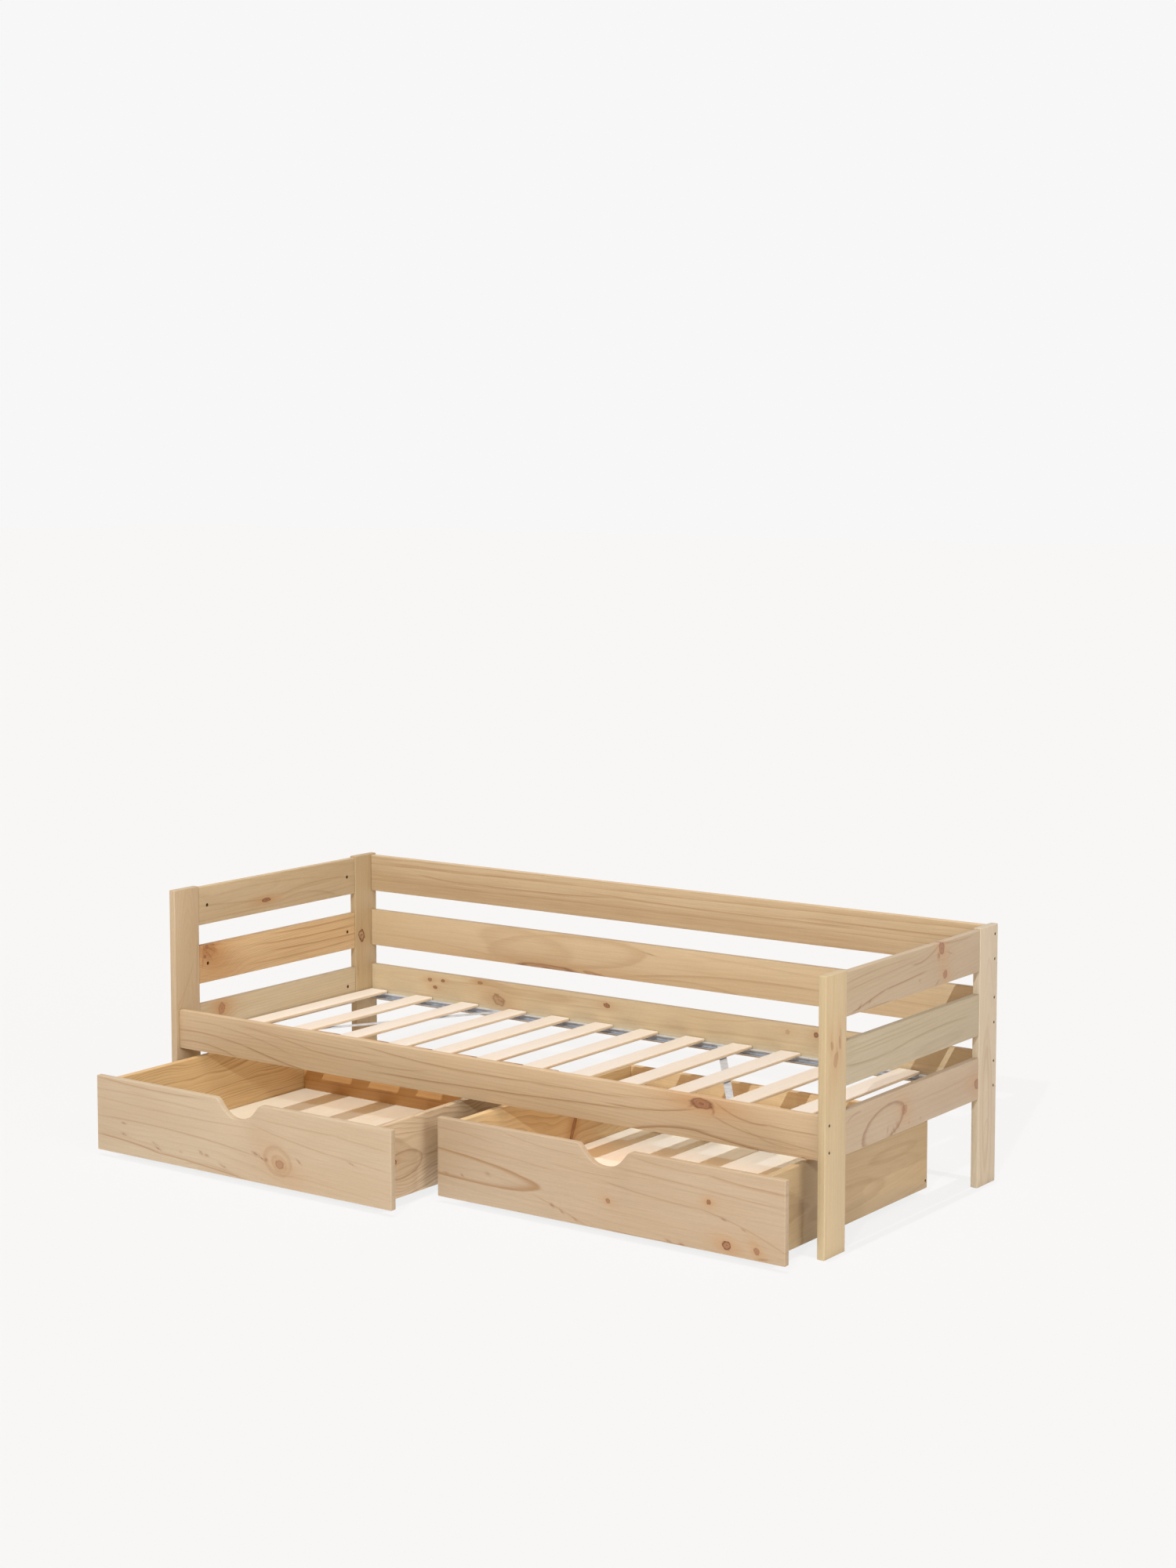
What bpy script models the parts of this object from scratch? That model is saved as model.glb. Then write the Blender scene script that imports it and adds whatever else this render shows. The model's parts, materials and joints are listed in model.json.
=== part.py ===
"""Pine daybed with a slatted base and two drawers that roll out from under it.

X runs along the bed, Y towards its back and Z up. Both drawers stand partly pulled out,
and the origin is on the floor, under the middle of the whole piece as it stands.
"""
import math

import bmesh
import bpy

for old in list(bpy.data.objects):
    bpy.data.objects.remove(old, do_unlink=True)

# Whole bed
BED_LENGTH = 2.070
BED_DEPTH = 0.852
POST_HEIGHT = 0.665

# Upright corner posts: planks whose wide face looks out of the bed's ends
POST_THICKNESS = 0.020
POST_WIDTH = 0.095

# Horizontal boards of the ends and the back, and the front rail
BOARD_HEIGHT = 0.106
BOARD_GAP = 0.057
POST_RISE = 0.004
END_BOARD_THICKNESS = 0.017
END_BOARD_RECESS = 0.001
BACK_BOARD_THICKNESS = 0.018
BACK_BOARD_RECESS = 0.006
RAIL_THICKNESS = 0.018
RAIL_RECESS = 0.011

# Rounding of sawn edges, and the gap between pieces that touch
WOOD_EASE = 0.0015
JOINT_GAP = 0.0003
CUT_OVERRUN = 0.004

# Steel channels that carry the slats
CHANNEL_HEIGHT = 0.0154
CHANNEL_DEPTH = 0.018
CHANNEL_WALL = 0.0015
CHANNEL_RISE = 0.0085
CHANNEL_END_GAP = 0.014

# Slats, laid across the bed; each place is a share of the run between the end slats' middles
SLAT_WIDTH = 0.063
SLAT_THICKNESS = 0.009
SLAT_EASE = 0.0022
SLAT_TIP_GAP = 0.0045
SLAT_END_GAP = 0.0025
SLAT_PLACE_SHARES = (-1.0, -0.826, -0.652, -0.476, -0.322, -0.168, -0.013,
                     0.142, 0.297, 0.452, 0.634, 0.817, 1.0)

# Flat steel braces under the slats; each end is a share of half the clear length
BRACE_WIDTH = 0.020
BRACE_THICKNESS = 0.002
BRACE_REAR_SHARES = {"left": -0.517, "right": 0.217}
BRACE_FRONT_SHARES = {"left": -0.970, "right": 0.763}

# Stepped holes of the wood screws, which go in through the posts and the drawer sides
SCREW_LENGTH = 0.042
SCREW_RADIUS = 0.0021
SCREW_HEAD_RADIUS = 0.0040
SCREW_HEAD_DEPTH = 0.0034
SCREW_PITCH_SHARE = 0.30

# Blind holes of the barrel nuts, and the holes of the bolts that reach them along the board
NUT_RADIUS = 0.0050
NUT_DEPTH = 0.0120
NUT_END_DISTANCE = 0.035
BOLT_RADIUS = 0.0030
BOLT_IN_POST = 0.030

# Drawers: room round the fronts, and how far each one stands pulled out
DRAWER_POST_GAP = 0.0045
DRAWER_MIDDLE_GAP = 0.006
DRAWER_TOP_GAP = 0.014
DRAWER_FLOOR_GAP = 0.015
DRAWER_REAR_GAP = 0.054
LEFT_PULL = 0.317
RIGHT_PULL = 0.144

# Drawer boards
FRONT_THICKNESS = 0.018
SIDE_THICKNESS = 0.018
SIDE_INSET = 0.050
SIDE_TOP_STEP = 0.002
SIDE_FOOT_STEP = 0.004
PANEL_THICKNESS = 0.006
PANEL_GROOVE = 0.006
BATTEN_WIDTH = 0.060
DRAWER_SCREW_INSET = 0.020
DRAWER_NUT_DISTANCE = 0.055
DRAWER_BOLT_IN_FRONT = 0.012

# Hand scoop in the top edge of a drawer front
SCOOP_WIDTH = 0.144
SCOOP_DEPTH = 0.048
SCOOP_STEPS = 16
SCOOP_CURVE_SHARE = 2.3

# Castors under the drawers
WHEEL_RADIUS = 0.017
WHEEL_WIDTH = 0.012
WHEEL_EDGE = 0.0015
AXLE_RADIUS = 0.0020
AXLE_PLAY = 0.0001
AXLE_HEAD = 0.0010
CHEEK_GAP = 0.0012
CHEEK_THICKNESS = 0.0016
CHEEK_LENGTH = 0.026
CHEEK_BELOW_AXLE = 0.006
PLATE_THICKNESS = 0.0017
PLATE_FLANGE = 0.010
WHEEL_HEADROOM = 0.001
CASTOR_SIDE_DISTANCE = 0.045
CASTOR_END_DISTANCE = 0.070

# Facets of round pieces
HOLE_SIDES = 12
BOLT_SIDES = 6
AXLE_SIDES = 12
WHEEL_SIDES = 24

# Places that follow from the sizes above
HALF_LENGTH = BED_LENGTH / 2
INNER_HALF = HALF_LENGTH - POST_THICKNESS
FRONT_Y = (max(LEFT_PULL, RIGHT_PULL) - RAIL_RECESS - BED_DEPTH) / 2
BACK_Y = FRONT_Y + BED_DEPTH
RAIL_FACE_Y = FRONT_Y + RAIL_RECESS
RAIL_INNER_Y = RAIL_FACE_Y + RAIL_THICKNESS
BACK_BOARD_REAR_Y = BACK_Y - BACK_BOARD_RECESS
BACK_BOARD_FACE_Y = BACK_BOARD_REAR_Y - BACK_BOARD_THICKNESS
BOARD_TOPS = [POST_HEIGHT - POST_RISE - row * (BOARD_HEIGHT + BOARD_GAP) for row in range(3)]
LOW_BOARD_Z = BOARD_TOPS[2] - BOARD_HEIGHT
CHANNEL_Z = LOW_BOARD_Z + CHANNEL_RISE
CHANNEL_TOP = CHANNEL_Z + CHANNEL_HEIGHT
SLAT_Z = CHANNEL_TOP + JOINT_GAP
DRAWER_WIDTH = INNER_HALF - DRAWER_POST_GAP - DRAWER_MIDDLE_GAP / 2
DRAWER_TOP = LOW_BOARD_Z - DRAWER_TOP_GAP
DRAWER_DEPTH = BACK_BOARD_FACE_Y - DRAWER_REAR_GAP - RAIL_FACE_Y
SIDE_TOP = DRAWER_TOP - SIDE_TOP_STEP
SIDE_FOOT = DRAWER_FLOOR_GAP + SIDE_FOOT_STEP
SIDE_OUTER_X = DRAWER_WIDTH / 2 - SIDE_INSET
SIDE_INNER_X = SIDE_OUTER_X - SIDE_THICKNESS
BOX_FRONT_Y = FRONT_THICKNESS + JOINT_GAP
BACK_PANEL_FACE_Y = DRAWER_DEPTH - SIDE_THICKNESS
PLATE_TOP = 2 * WHEEL_RADIUS + WHEEL_HEADROOM + PLATE_THICKNESS
PANEL_Z = PLATE_TOP + JOINT_GAP
AXES = "xyz"


def make_material(name, colour, roughness, metallic):
    """A plain Principled surface for one piece."""
    material = bpy.data.materials.new(name)
    material.use_nodes = True
    shader = material.node_tree.nodes["Principled BSDF"]
    shader.inputs["Base Color"].default_value = (*colour, 1.0)
    shader.inputs["Roughness"].default_value = roughness
    shader.inputs["Metallic"].default_value = metallic
    material.diffuse_color = (*colour, 1.0)
    return material


FINISHES = {
    "pine": ((0.62, 0.43, 0.26), 0.55, 0.0),
    "slat": ((0.80, 0.67, 0.48), 0.55, 0.0),
    "panel": ((0.74, 0.60, 0.42), 0.60, 0.0),
    "steel": ((0.50, 0.52, 0.56), 0.40, 0.9),
    "wheel": ((0.10, 0.10, 0.10), 0.65, 0.0),
}


def add_object(name, mesh_data, place, parent, finish, smooth=False):
    """Turn a bmesh into a named object at a place in its parent's frame."""
    bmesh.ops.recalc_face_normals(mesh_data, faces=mesh_data.faces)
    mesh = bpy.data.meshes.new(name)
    mesh_data.to_mesh(mesh)
    mesh_data.free()
    if smooth:
        mesh.shade_smooth()
        mesh.set_sharp_from_angle(angle=math.radians(40))
    colour, roughness, metallic = FINISHES[finish]
    mesh.materials.append(make_material(name, colour, roughness, metallic))
    piece = bpy.data.objects.new(name, mesh)
    bpy.context.scene.collection.objects.link(piece)
    piece.location = place
    piece.parent = parent
    return piece


def add_cutter(name, mesh_data, parent):
    """A hidden shape that only cuts its neighbours."""
    cutter = add_object(name, mesh_data, (0, 0, 0), parent, "steel")
    cutter.hide_render = True
    cutter.display_type = "WIRE"
    return cutter


def cut(piece, cutter, operation="DIFFERENCE"):
    """Cut one shape out of a piece, or join it on."""
    boolean = piece.modifiers.new(cutter.name, "BOOLEAN")
    boolean.operation = operation
    boolean.object = cutter


def ease(piece, width):
    """Break the sharp edges of a sawn piece."""
    bevel = piece.modifiers.new("eased edges", "BEVEL")
    bevel.width = width
    bevel.segments = 1
    bevel.limit_method = "ANGLE"
    bevel.angle_limit = math.radians(40)


def add_block(mesh_data, low, high):
    """Add a box between two corners."""
    size = [top - bottom for bottom, top in zip(low, high)]
    middle = [(top + bottom) / 2 for bottom, top in zip(low, high)]
    corners = bmesh.ops.create_cube(mesh_data, size=1)["verts"]
    bmesh.ops.scale(mesh_data, vec=size, verts=corners)
    bmesh.ops.translate(mesh_data, vec=middle, verts=corners)


def board(name, low, high, parent, finish="pine", edge=WOOD_EASE):
    """A sawn board between two corners, with eased edges and its origin at its middle."""
    middle = [(top + bottom) / 2 for bottom, top in zip(low, high)]
    half = [(top - bottom) / 2 for bottom, top in zip(low, high)]
    mesh_data = bmesh.new()
    add_block(mesh_data, [-length for length in half], half)
    piece = add_object(name, mesh_data, middle, parent, finish)
    ease(piece, edge)
    return piece


def add_prism(mesh_data, outline, axis, start, end):
    """Extrude a closed outline along one axis. The outline's pairs are the other two axes."""
    along = AXES.index(axis)
    others = [index for index in range(3) if index != along]
    corners = []
    for pair in outline:
        point = [start, start, start]
        point[others[0]], point[others[1]] = pair
        corners.append(mesh_data.verts.new(point))
    face = mesh_data.faces.new(corners)
    grown = bmesh.ops.extrude_face_region(mesh_data, geom=[face])["geom"]
    moved = [item for item in grown if isinstance(item, bmesh.types.BMVert)]
    travel = [0, 0, 0]
    travel[along] = end - start
    bmesh.ops.translate(mesh_data, vec=travel, verts=moved)


def add_turned(mesh_data, origin, axis, direction, stations, sides):
    """Add a turned body along an axis. Each station is a distance from the origin and a radius."""
    along = AXES.index(axis)
    across = [index for index in range(3) if index != along]
    rings = []
    for distance, radius in stations:
        ring = []
        for step in range(sides):
            angle = 2 * math.pi * (step + 0.5) / sides
            point = list(origin)
            point[along] += direction * distance
            point[across[0]] += radius * math.cos(angle)
            point[across[1]] += radius * math.sin(angle)
            ring.append(mesh_data.verts.new(point))
        rings.append(ring)
    for near, far in zip(rings, rings[1:]):
        for step in range(sides):
            following = (step + 1) % sides
            mesh_data.faces.new((near[step], near[following], far[following], far[step]))
    mesh_data.faces.new(rings[0])
    mesh_data.faces.new(rings[-1])


def screw_holes(name, places, parent):
    """Stepped holes for wood screws. Each place is a point of a face and the way in along X."""
    holes = bmesh.new()
    stations = [(-CUT_OVERRUN, SCREW_HEAD_RADIUS), (SCREW_HEAD_DEPTH, SCREW_HEAD_RADIUS),
                (SCREW_HEAD_DEPTH, SCREW_RADIUS), (SCREW_LENGTH, SCREW_RADIUS)]
    for origin, inwards in places:
        add_turned(holes, origin, "x", inwards, stations, HOLE_SIDES)
    return add_cutter(name, holes, parent)


def nut_holes(name, places, length, parent):
    """Blind holes for barrel nuts, and the crossing holes for their bolts.

    Each place gives where the nut's hole opens, which way it goes in along X, how deep
    the bolt's axis lies and which way the bolt runs along Y.
    """
    nuts = bmesh.new()
    bolts = bmesh.new()
    for origin, inwards, depth, reach in places:
        crossing = (origin[0] + inwards * depth, origin[1], origin[2])
        add_turned(nuts, origin, "x", inwards,
                   [(-CUT_OVERRUN, NUT_RADIUS), (NUT_DEPTH, NUT_RADIUS)], HOLE_SIDES)
        add_turned(bolts, crossing, "y", reach, [(0, BOLT_RADIUS), (length, BOLT_RADIUS)],
                   BOLT_SIDES)
    return (add_cutter(name + "_nut_holes", nuts, parent),
            add_cutter(name + "_bolt_holes", bolts, parent))


def make_empty(name, place, parent=None):
    """An empty that carries a moving group."""
    empty = bpy.data.objects.new(name, None)
    bpy.context.scene.collection.objects.link(empty)
    empty.location = place
    empty.parent = parent
    return empty


def build_posts(bed):
    """Four corner posts, standing on the floor."""
    posts = {}
    for side, outer in (("left", -HALF_LENGTH), ("right", HALF_LENGTH)):
        inner = math.copysign(INNER_HALF, outer)
        for place, low_y in (("front", FRONT_Y), ("rear", BACK_Y - POST_WIDTH)):
            low = (min(outer, inner), low_y, 0)
            high = (max(outer, inner), low_y + POST_WIDTH, POST_HEIGHT)
            posts[place, side] = board("post_" + place + "_" + side, low, high, bed)
    return posts


def build_boards(bed):
    """Three boards at each end, three at the back, and the front rail."""
    rows = ("upper", "middle", "lower")
    boards = {}
    low_y = FRONT_Y + POST_WIDTH + JOINT_GAP
    high_y = BACK_Y - POST_WIDTH - JOINT_GAP
    outer = HALF_LENGTH - END_BOARD_RECESS
    inner = outer - END_BOARD_THICKNESS
    reach = INNER_HALF - JOINT_GAP
    for row, top in zip(rows, BOARD_TOPS):
        low_z = top - BOARD_HEIGHT
        boards["left", row] = board("end_board_left_" + row, (-outer, low_y, low_z),
                                    (-inner, high_y, top), bed)
        boards["right", row] = board("end_board_right_" + row, (inner, low_y, low_z),
                                     (outer, high_y, top), bed)
        boards["back", row] = board("back_board_" + row, (-reach, BACK_BOARD_FACE_Y, low_z),
                                    (reach, BACK_BOARD_REAR_Y, top), bed)
    boards["front", "lower"] = board("front_rail", (-reach, RAIL_FACE_Y, LOW_BOARD_Z),
                                     (reach, RAIL_INNER_Y, BOARD_TOPS[2]), bed)
    return boards


def drill_frame(bed, posts, boards):
    """Screw holes from the posts into the long boards; nut and bolt holes in the end boards."""
    pitch = BOARD_HEIGHT * SCREW_PITCH_SHARE
    screws = []
    for inwards, face in ((1, -HALF_LENGTH), (-1, HALF_LENGTH)):
        for (side, row), piece in boards.items():
            if side in ("back", "front"):
                for step in (-pitch, pitch):
                    origin = (face, piece.location.y, piece.location.z + step)
                    screws.append((origin, inwards))
    holes = screw_holes("board_screw_holes", screws, bed)

    inner = HALF_LENGTH - END_BOARD_RECESS - END_BOARD_THICKNESS
    near_y = FRONT_Y + POST_WIDTH + NUT_END_DISTANCE
    far_y = BACK_Y - POST_WIDTH - NUT_END_DISTANCE
    nuts = []
    for (side, row), piece in boards.items():
        if side in ("left", "right"):
            outwards = -1 if side == "left" else 1
            for nut_y, reach in ((near_y, -1), (far_y, 1)):
                opening = (outwards * inner, nut_y, piece.location.z)
                nuts.append((opening, outwards, END_BOARD_THICKNESS / 2, reach))
    nut_cutter, bolt_cutter = nut_holes("end_board", nuts, NUT_END_DISTANCE + BOLT_IN_POST, bed)

    for post in posts.values():
        cut(post, holes)
        cut(post, bolt_cutter)
    for (side, row), piece in boards.items():
        if side in ("left", "right"):
            cut(piece, nut_cutter)
            cut(piece, bolt_cutter)
        else:
            cut(piece, holes)


def channel_outline(wall_y, inwards):
    """Section of a channel that stands against a board and opens into the bed."""
    lip_y = wall_y + inwards * CHANNEL_DEPTH
    web_y = wall_y + inwards * CHANNEL_WALL
    return [(wall_y, CHANNEL_Z), (lip_y, CHANNEL_Z), (lip_y, CHANNEL_Z + CHANNEL_WALL),
            (web_y, CHANNEL_Z + CHANNEL_WALL), (web_y, CHANNEL_TOP - CHANNEL_WALL),
            (lip_y, CHANNEL_TOP - CHANNEL_WALL), (lip_y, CHANNEL_TOP), (wall_y, CHANNEL_TOP)]


def build_base(bed):
    """Channels, diagonal braces and slats."""
    reach = INNER_HALF - CHANNEL_END_GAP
    walls = {"front": RAIL_INNER_Y + JOINT_GAP, "rear": BACK_BOARD_FACE_Y - JOINT_GAP}
    inwards = {"front": 1, "rear": -1}
    for place, wall_y in walls.items():
        section = bmesh.new()
        add_prism(section, channel_outline(wall_y, inwards[place]), "x", -reach, reach)
        add_object("channel_" + place, section, (0, 0, 0), bed, "steel")

    # Each brace lies inside both channels, under their top flanges.
    top = CHANNEL_TOP - CHANNEL_WALL - JOINT_GAP
    front_y = walls["front"] + CHANNEL_WALL + JOINT_GAP
    rear_y = walls["rear"] - CHANNEL_WALL - JOINT_GAP
    for side in ("left", "right"):
        front_x = BRACE_FRONT_SHARES[side] * INNER_HALF
        rear_x = BRACE_REAR_SHARES[side] * INNER_HALF
        lean = math.atan2(rear_x - front_x, rear_y - front_y)
        half = BRACE_WIDTH / 2 / math.cos(lean)
        outline = [(front_x - half, front_y), (front_x + half, front_y),
                   (rear_x + half, rear_y), (rear_x - half, rear_y)]
        bar = bmesh.new()
        add_prism(bar, outline, "z", top - BRACE_THICKNESS, top)
        add_object("brace_" + side, bar, (0, 0, 0), bed, "steel")

    run = INNER_HALF - SLAT_END_GAP - SLAT_WIDTH / 2
    for number, share in enumerate(SLAT_PLACE_SHARES, start=1):
        low = (share * run - SLAT_WIDTH / 2, RAIL_INNER_Y + SLAT_TIP_GAP, SLAT_Z)
        high = (share * run + SLAT_WIDTH / 2, BACK_BOARD_FACE_Y - SLAT_TIP_GAP,
                SLAT_Z + SLAT_THICKNESS)
        board("slat_%02d" % number, low, high, bed, finish="slat", edge=SLAT_EASE)


def front_outline():
    """Outline of a drawer front, across and up, with the scoop in its top edge."""
    half = DRAWER_WIDTH / 2
    reach = SCOOP_WIDTH / 2
    points = [(half, DRAWER_TOP), (half, DRAWER_FLOOR_GAP), (-half, DRAWER_FLOOR_GAP),
              (-half, DRAWER_TOP)]
    for step in range(SCOOP_STEPS + 1):
        share = 2 * step / SCOOP_STEPS - 1
        depth = SCOOP_DEPTH * (1 - abs(share) ** SCOOP_CURVE_SHARE)
        points.append((share * reach, DRAWER_TOP - depth))
    return points


def add_ring(mesh_data, origin, outline, sides):
    """Spin a closed section of (along, radius) pairs round an axis along X."""
    section = [mesh_data.verts.new((origin[0] + along, origin[1], origin[2] - radius))
               for along, radius in outline]
    edges = [mesh_data.edges.new((section[index], section[(index + 1) % len(section)]))
             for index in range(len(section))]
    bmesh.ops.spin(mesh_data, geom=section + edges, cent=origin, axis=(1, 0, 0),
                   angle=2 * math.pi, steps=sides, use_merge=True)


def wheel_outline():
    """Half section of a wheel with a bore and broken outer edges."""
    half = WHEEL_WIDTH / 2
    bore = AXLE_RADIUS + AXLE_PLAY
    return [(-half, bore), (half, bore), (half, WHEEL_RADIUS - WHEEL_EDGE),
            (half - WHEEL_EDGE, WHEEL_RADIUS), (-half + WHEEL_EDGE, WHEEL_RADIUS),
            (-half, WHEEL_RADIUS - WHEEL_EDGE)]


def housing_outline():
    """Section of a castor bracket: a plate under the drawer floor with two cheeks."""
    inner = WHEEL_WIDTH / 2 + CHEEK_GAP
    outer = inner + CHEEK_THICKNESS
    flange = outer + PLATE_FLANGE
    foot = -CHEEK_BELOW_AXLE
    plate_top = PLATE_TOP - WHEEL_RADIUS
    under = plate_top - PLATE_THICKNESS
    right = [(inner, under), (inner, foot), (outer, foot), (outer, under), (flange, under),
             (flange, plate_top)]
    return right + [(-x, z) for x, z in reversed(right)]


def build_castor(name, place, drawer):
    """One fixed castor: a bracket with its riveted axle, and the wheel that turns on it."""
    bracket = bmesh.new()
    add_prism(bracket, housing_outline(), "y", -CHEEK_LENGTH / 2, CHEEK_LENGTH / 2)
    housing = add_object(name + "_bracket", bracket, place, drawer, "steel")
    half = WHEEL_WIDTH / 2 + CHEEK_GAP + CHEEK_THICKNESS + AXLE_HEAD
    pin = bmesh.new()
    add_turned(pin, (-half, 0, 0), "x", 1, [(0, AXLE_RADIUS), (2 * half, AXLE_RADIUS)],
               AXLE_SIDES)
    axle = add_cutter(name + "_axle", pin, drawer)
    axle.location = place
    cut(housing, axle, "UNION")
    tyre = bmesh.new()
    add_ring(tyre, (0, 0, 0), wheel_outline(), WHEEL_SIDES)
    add_object(name + "_wheel", tyre, place, drawer, "wheel", smooth=True)


def build_castors(name, drawer):
    """A castor near each corner of a drawer's floor."""
    reach = SIDE_INNER_X - CASTOR_SIDE_DISTANCE
    for side, x in (("left", -reach), ("right", reach)):
        for row, y in (("front", BOX_FRONT_Y + CASTOR_END_DISTANCE),
                       ("rear", BACK_PANEL_FACE_Y - CASTOR_END_DISTANCE)):
            build_castor(name + "_castor_" + row + "_" + side, (x, y, WHEEL_RADIUS), drawer)


def build_drawer(name, middle_x, pull):
    """One drawer, in a frame at the middle of its front face, at floor level."""
    drawer = make_empty(name, (middle_x, RAIL_FACE_Y - pull, 0))
    slab = bmesh.new()
    add_prism(slab, front_outline(), "y", 0, FRONT_THICKNESS)
    front = add_object(name + "_front", slab, (0, 0, 0), drawer, "pine")
    ease(front, WOOD_EASE)

    sides = {}
    for side, hand in (("left", -1), ("right", 1)):
        edges = sorted((hand * SIDE_INNER_X, hand * SIDE_OUTER_X))
        sides[hand] = board(name + "_side_" + side, (edges[0], BOX_FRONT_Y, SIDE_FOOT),
                            (edges[1], DRAWER_DEPTH, SIDE_TOP), drawer)
    back_half = SIDE_INNER_X - JOINT_GAP
    back = board(name + "_back", (-back_half, BACK_PANEL_FACE_Y, SIDE_FOOT),
                 (back_half, DRAWER_DEPTH, SIDE_TOP), drawer)

    # The floor panel sits in a groove that runs round all four boards.
    grip = PANEL_GROOVE - JOINT_GAP
    panel_low = (-SIDE_INNER_X - grip, FRONT_THICKNESS - grip, PANEL_Z)
    panel_high = (SIDE_INNER_X + grip, BACK_PANEL_FACE_Y + grip, PANEL_Z + PANEL_THICKNESS)
    sheet = bmesh.new()
    add_block(sheet, panel_low, panel_high)
    add_object(name + "_floor", sheet, (0, 0, 0), drawer, "panel")
    room = bmesh.new()
    add_block(room, [edge - JOINT_GAP for edge in panel_low],
              [edge + JOINT_GAP for edge in panel_high])
    groove = add_cutter(name + "_floor_groove", room, drawer)
    for piece in (front, back, sides[-1], sides[1]):
        cut(piece, groove)
    board(name + "_batten", (-BATTEN_WIDTH / 2, BOX_FRONT_Y, SIDE_FOOT),
          (BATTEN_WIDTH / 2, BACK_PANEL_FACE_Y - JOINT_GAP, PANEL_Z - JOINT_GAP), drawer)

    screws = []
    nuts = []
    for hand, piece in sides.items():
        face = hand * SIDE_OUTER_X
        for height in (SIDE_FOOT + DRAWER_SCREW_INSET, SIDE_TOP - DRAWER_SCREW_INSET):
            screws.append(((face, back.location.y, height), -hand))
        opening = (face, BOX_FRONT_Y + DRAWER_NUT_DISTANCE, piece.location.z)
        nuts.append((opening, -hand, SIDE_THICKNESS / 2, -1))
    holes = screw_holes(name + "_screw_holes", screws, drawer)
    length = DRAWER_NUT_DISTANCE + JOINT_GAP + DRAWER_BOLT_IN_FRONT
    nut_cutter, bolt_cutter = nut_holes(name, nuts, length, drawer)
    cut(back, holes)
    cut(front, bolt_cutter)
    for piece in sides.values():
        for shape in (holes, nut_cutter, bolt_cutter):
            cut(piece, shape)
    build_castors(name, drawer)


def main():
    """Build the bed frame, its slatted base and the two drawers."""
    bed = make_empty("bed_frame", (0, 0, 0))
    posts = build_posts(bed)
    boards = build_boards(bed)
    bpy.context.view_layer.update()
    drill_frame(bed, posts, boards)
    build_base(bed)
    middle = DRAWER_MIDDLE_GAP / 2 + DRAWER_WIDTH / 2
    build_drawer("drawer_left", -middle, LEFT_PULL)
    build_drawer("drawer_right", middle, RIGHT_PULL)
    bpy.context.view_layer.update()


main()
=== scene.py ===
"""Looks of a pine daybed with a slatted base and two drawers that roll out from under it.

X runs along the bed, Y towards its back and Z up, in metres, with the origin on the floor.
"""

import json
import math
from functools import partialmethod

import bmesh
import bpy
from mathutils import Matrix, Vector


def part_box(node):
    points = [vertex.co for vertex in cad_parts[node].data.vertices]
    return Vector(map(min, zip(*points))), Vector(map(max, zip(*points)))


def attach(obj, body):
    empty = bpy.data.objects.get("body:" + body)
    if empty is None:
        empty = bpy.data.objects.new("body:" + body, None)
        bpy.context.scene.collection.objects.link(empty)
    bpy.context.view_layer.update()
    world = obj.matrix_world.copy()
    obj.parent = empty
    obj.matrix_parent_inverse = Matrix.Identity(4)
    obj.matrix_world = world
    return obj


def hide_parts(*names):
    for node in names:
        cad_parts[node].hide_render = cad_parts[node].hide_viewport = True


bl_info = {
    "name": "Pine daybed looks",
    "version": (1, 0, 0),
    "blender": (4, 5, 0),
    "location": "3D View > Sidebar > Daybed",
    "description": "Boards, steel, fastenings, castors and studio of a pine storage daybed",
    "category": "Object",
}

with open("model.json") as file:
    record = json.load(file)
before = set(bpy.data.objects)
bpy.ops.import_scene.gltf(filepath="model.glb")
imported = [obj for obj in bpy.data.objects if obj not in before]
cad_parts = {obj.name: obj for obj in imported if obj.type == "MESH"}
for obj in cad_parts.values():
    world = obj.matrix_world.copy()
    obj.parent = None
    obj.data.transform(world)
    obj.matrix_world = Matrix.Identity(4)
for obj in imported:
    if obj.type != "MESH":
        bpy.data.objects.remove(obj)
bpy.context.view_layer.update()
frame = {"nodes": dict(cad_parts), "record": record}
BODIES = {node: body for body, nodes in frame["record"]["behaviour"]["bodies"].items()
          for node in nodes}

DRAWERS = ("drawer_left", "drawer_right")
ROWS = ("upper", "middle", "lower")
HANDS = {"left": -1, "right": 1}
TOUCH = 1e-5  # places closer together than this are one
SCREW_HOLE = (0.0040, 0.0034)  # radius and depth
NUT_HOLE = (0.0050, 0.0120)
SCREW_SHARES = (-0.3, 0.3)  # of a board's height, from its middle
SCREW_FROM_EDGE = 0.020  # from the edges of a drawer side to its screws
NUT_FROM_END = 0.0347  # from the end of an end board to its barrel nut
DRAWER_NUT_FROM_END = 0.055
SCOOP_REACH = 0.072  # from the middle of a drawer's hand scoop to its end
SCOOP_DEPTH = 0.048
SCOOP_POWER = 2.3  # how square the scoop's curve is
SHEET = 0.0015  # thickness of the folded channels
FOLD = 0.0016  # how far from its corner a fold starts to turn
RIVET_FROM_END = 0.009  # along the straps
FINE_ROUNDING = 0.0006  # along the edges of the drawer floors and sunk heads
WHEEL_RADIUS = 0.017
WHEEL_WIDTH = 0.012
BACKGROUND_SHARE = 0.88  # of the floor's look that is background, the rest shows the shadow


def paint(red, green, blue):
    """A colour written as 0 to 255 on screen, as the shader takes it."""
    shares = (value / 255 for value in (red, green, blue))
    return tuple(s / 12.92 if s <= 0.04045 else ((s + 0.055) / 1.055) ** 2.4 for s in shares)


# ---------------------------------------------------------------- sizes and colours to change


def length(name, description, default, low, high):
    """A size that can be changed, in metres."""
    return bpy.props.FloatProperty(name=name, description=description, default=default,
                                   min=low, max=high, unit="LENGTH")


def tint(name, description, *default):
    """A colour that can be changed."""
    return bpy.props.FloatVectorProperty(name=name, description=description, default=default,
                                         subtype="COLOR", size=3, min=0, max=1)


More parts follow.
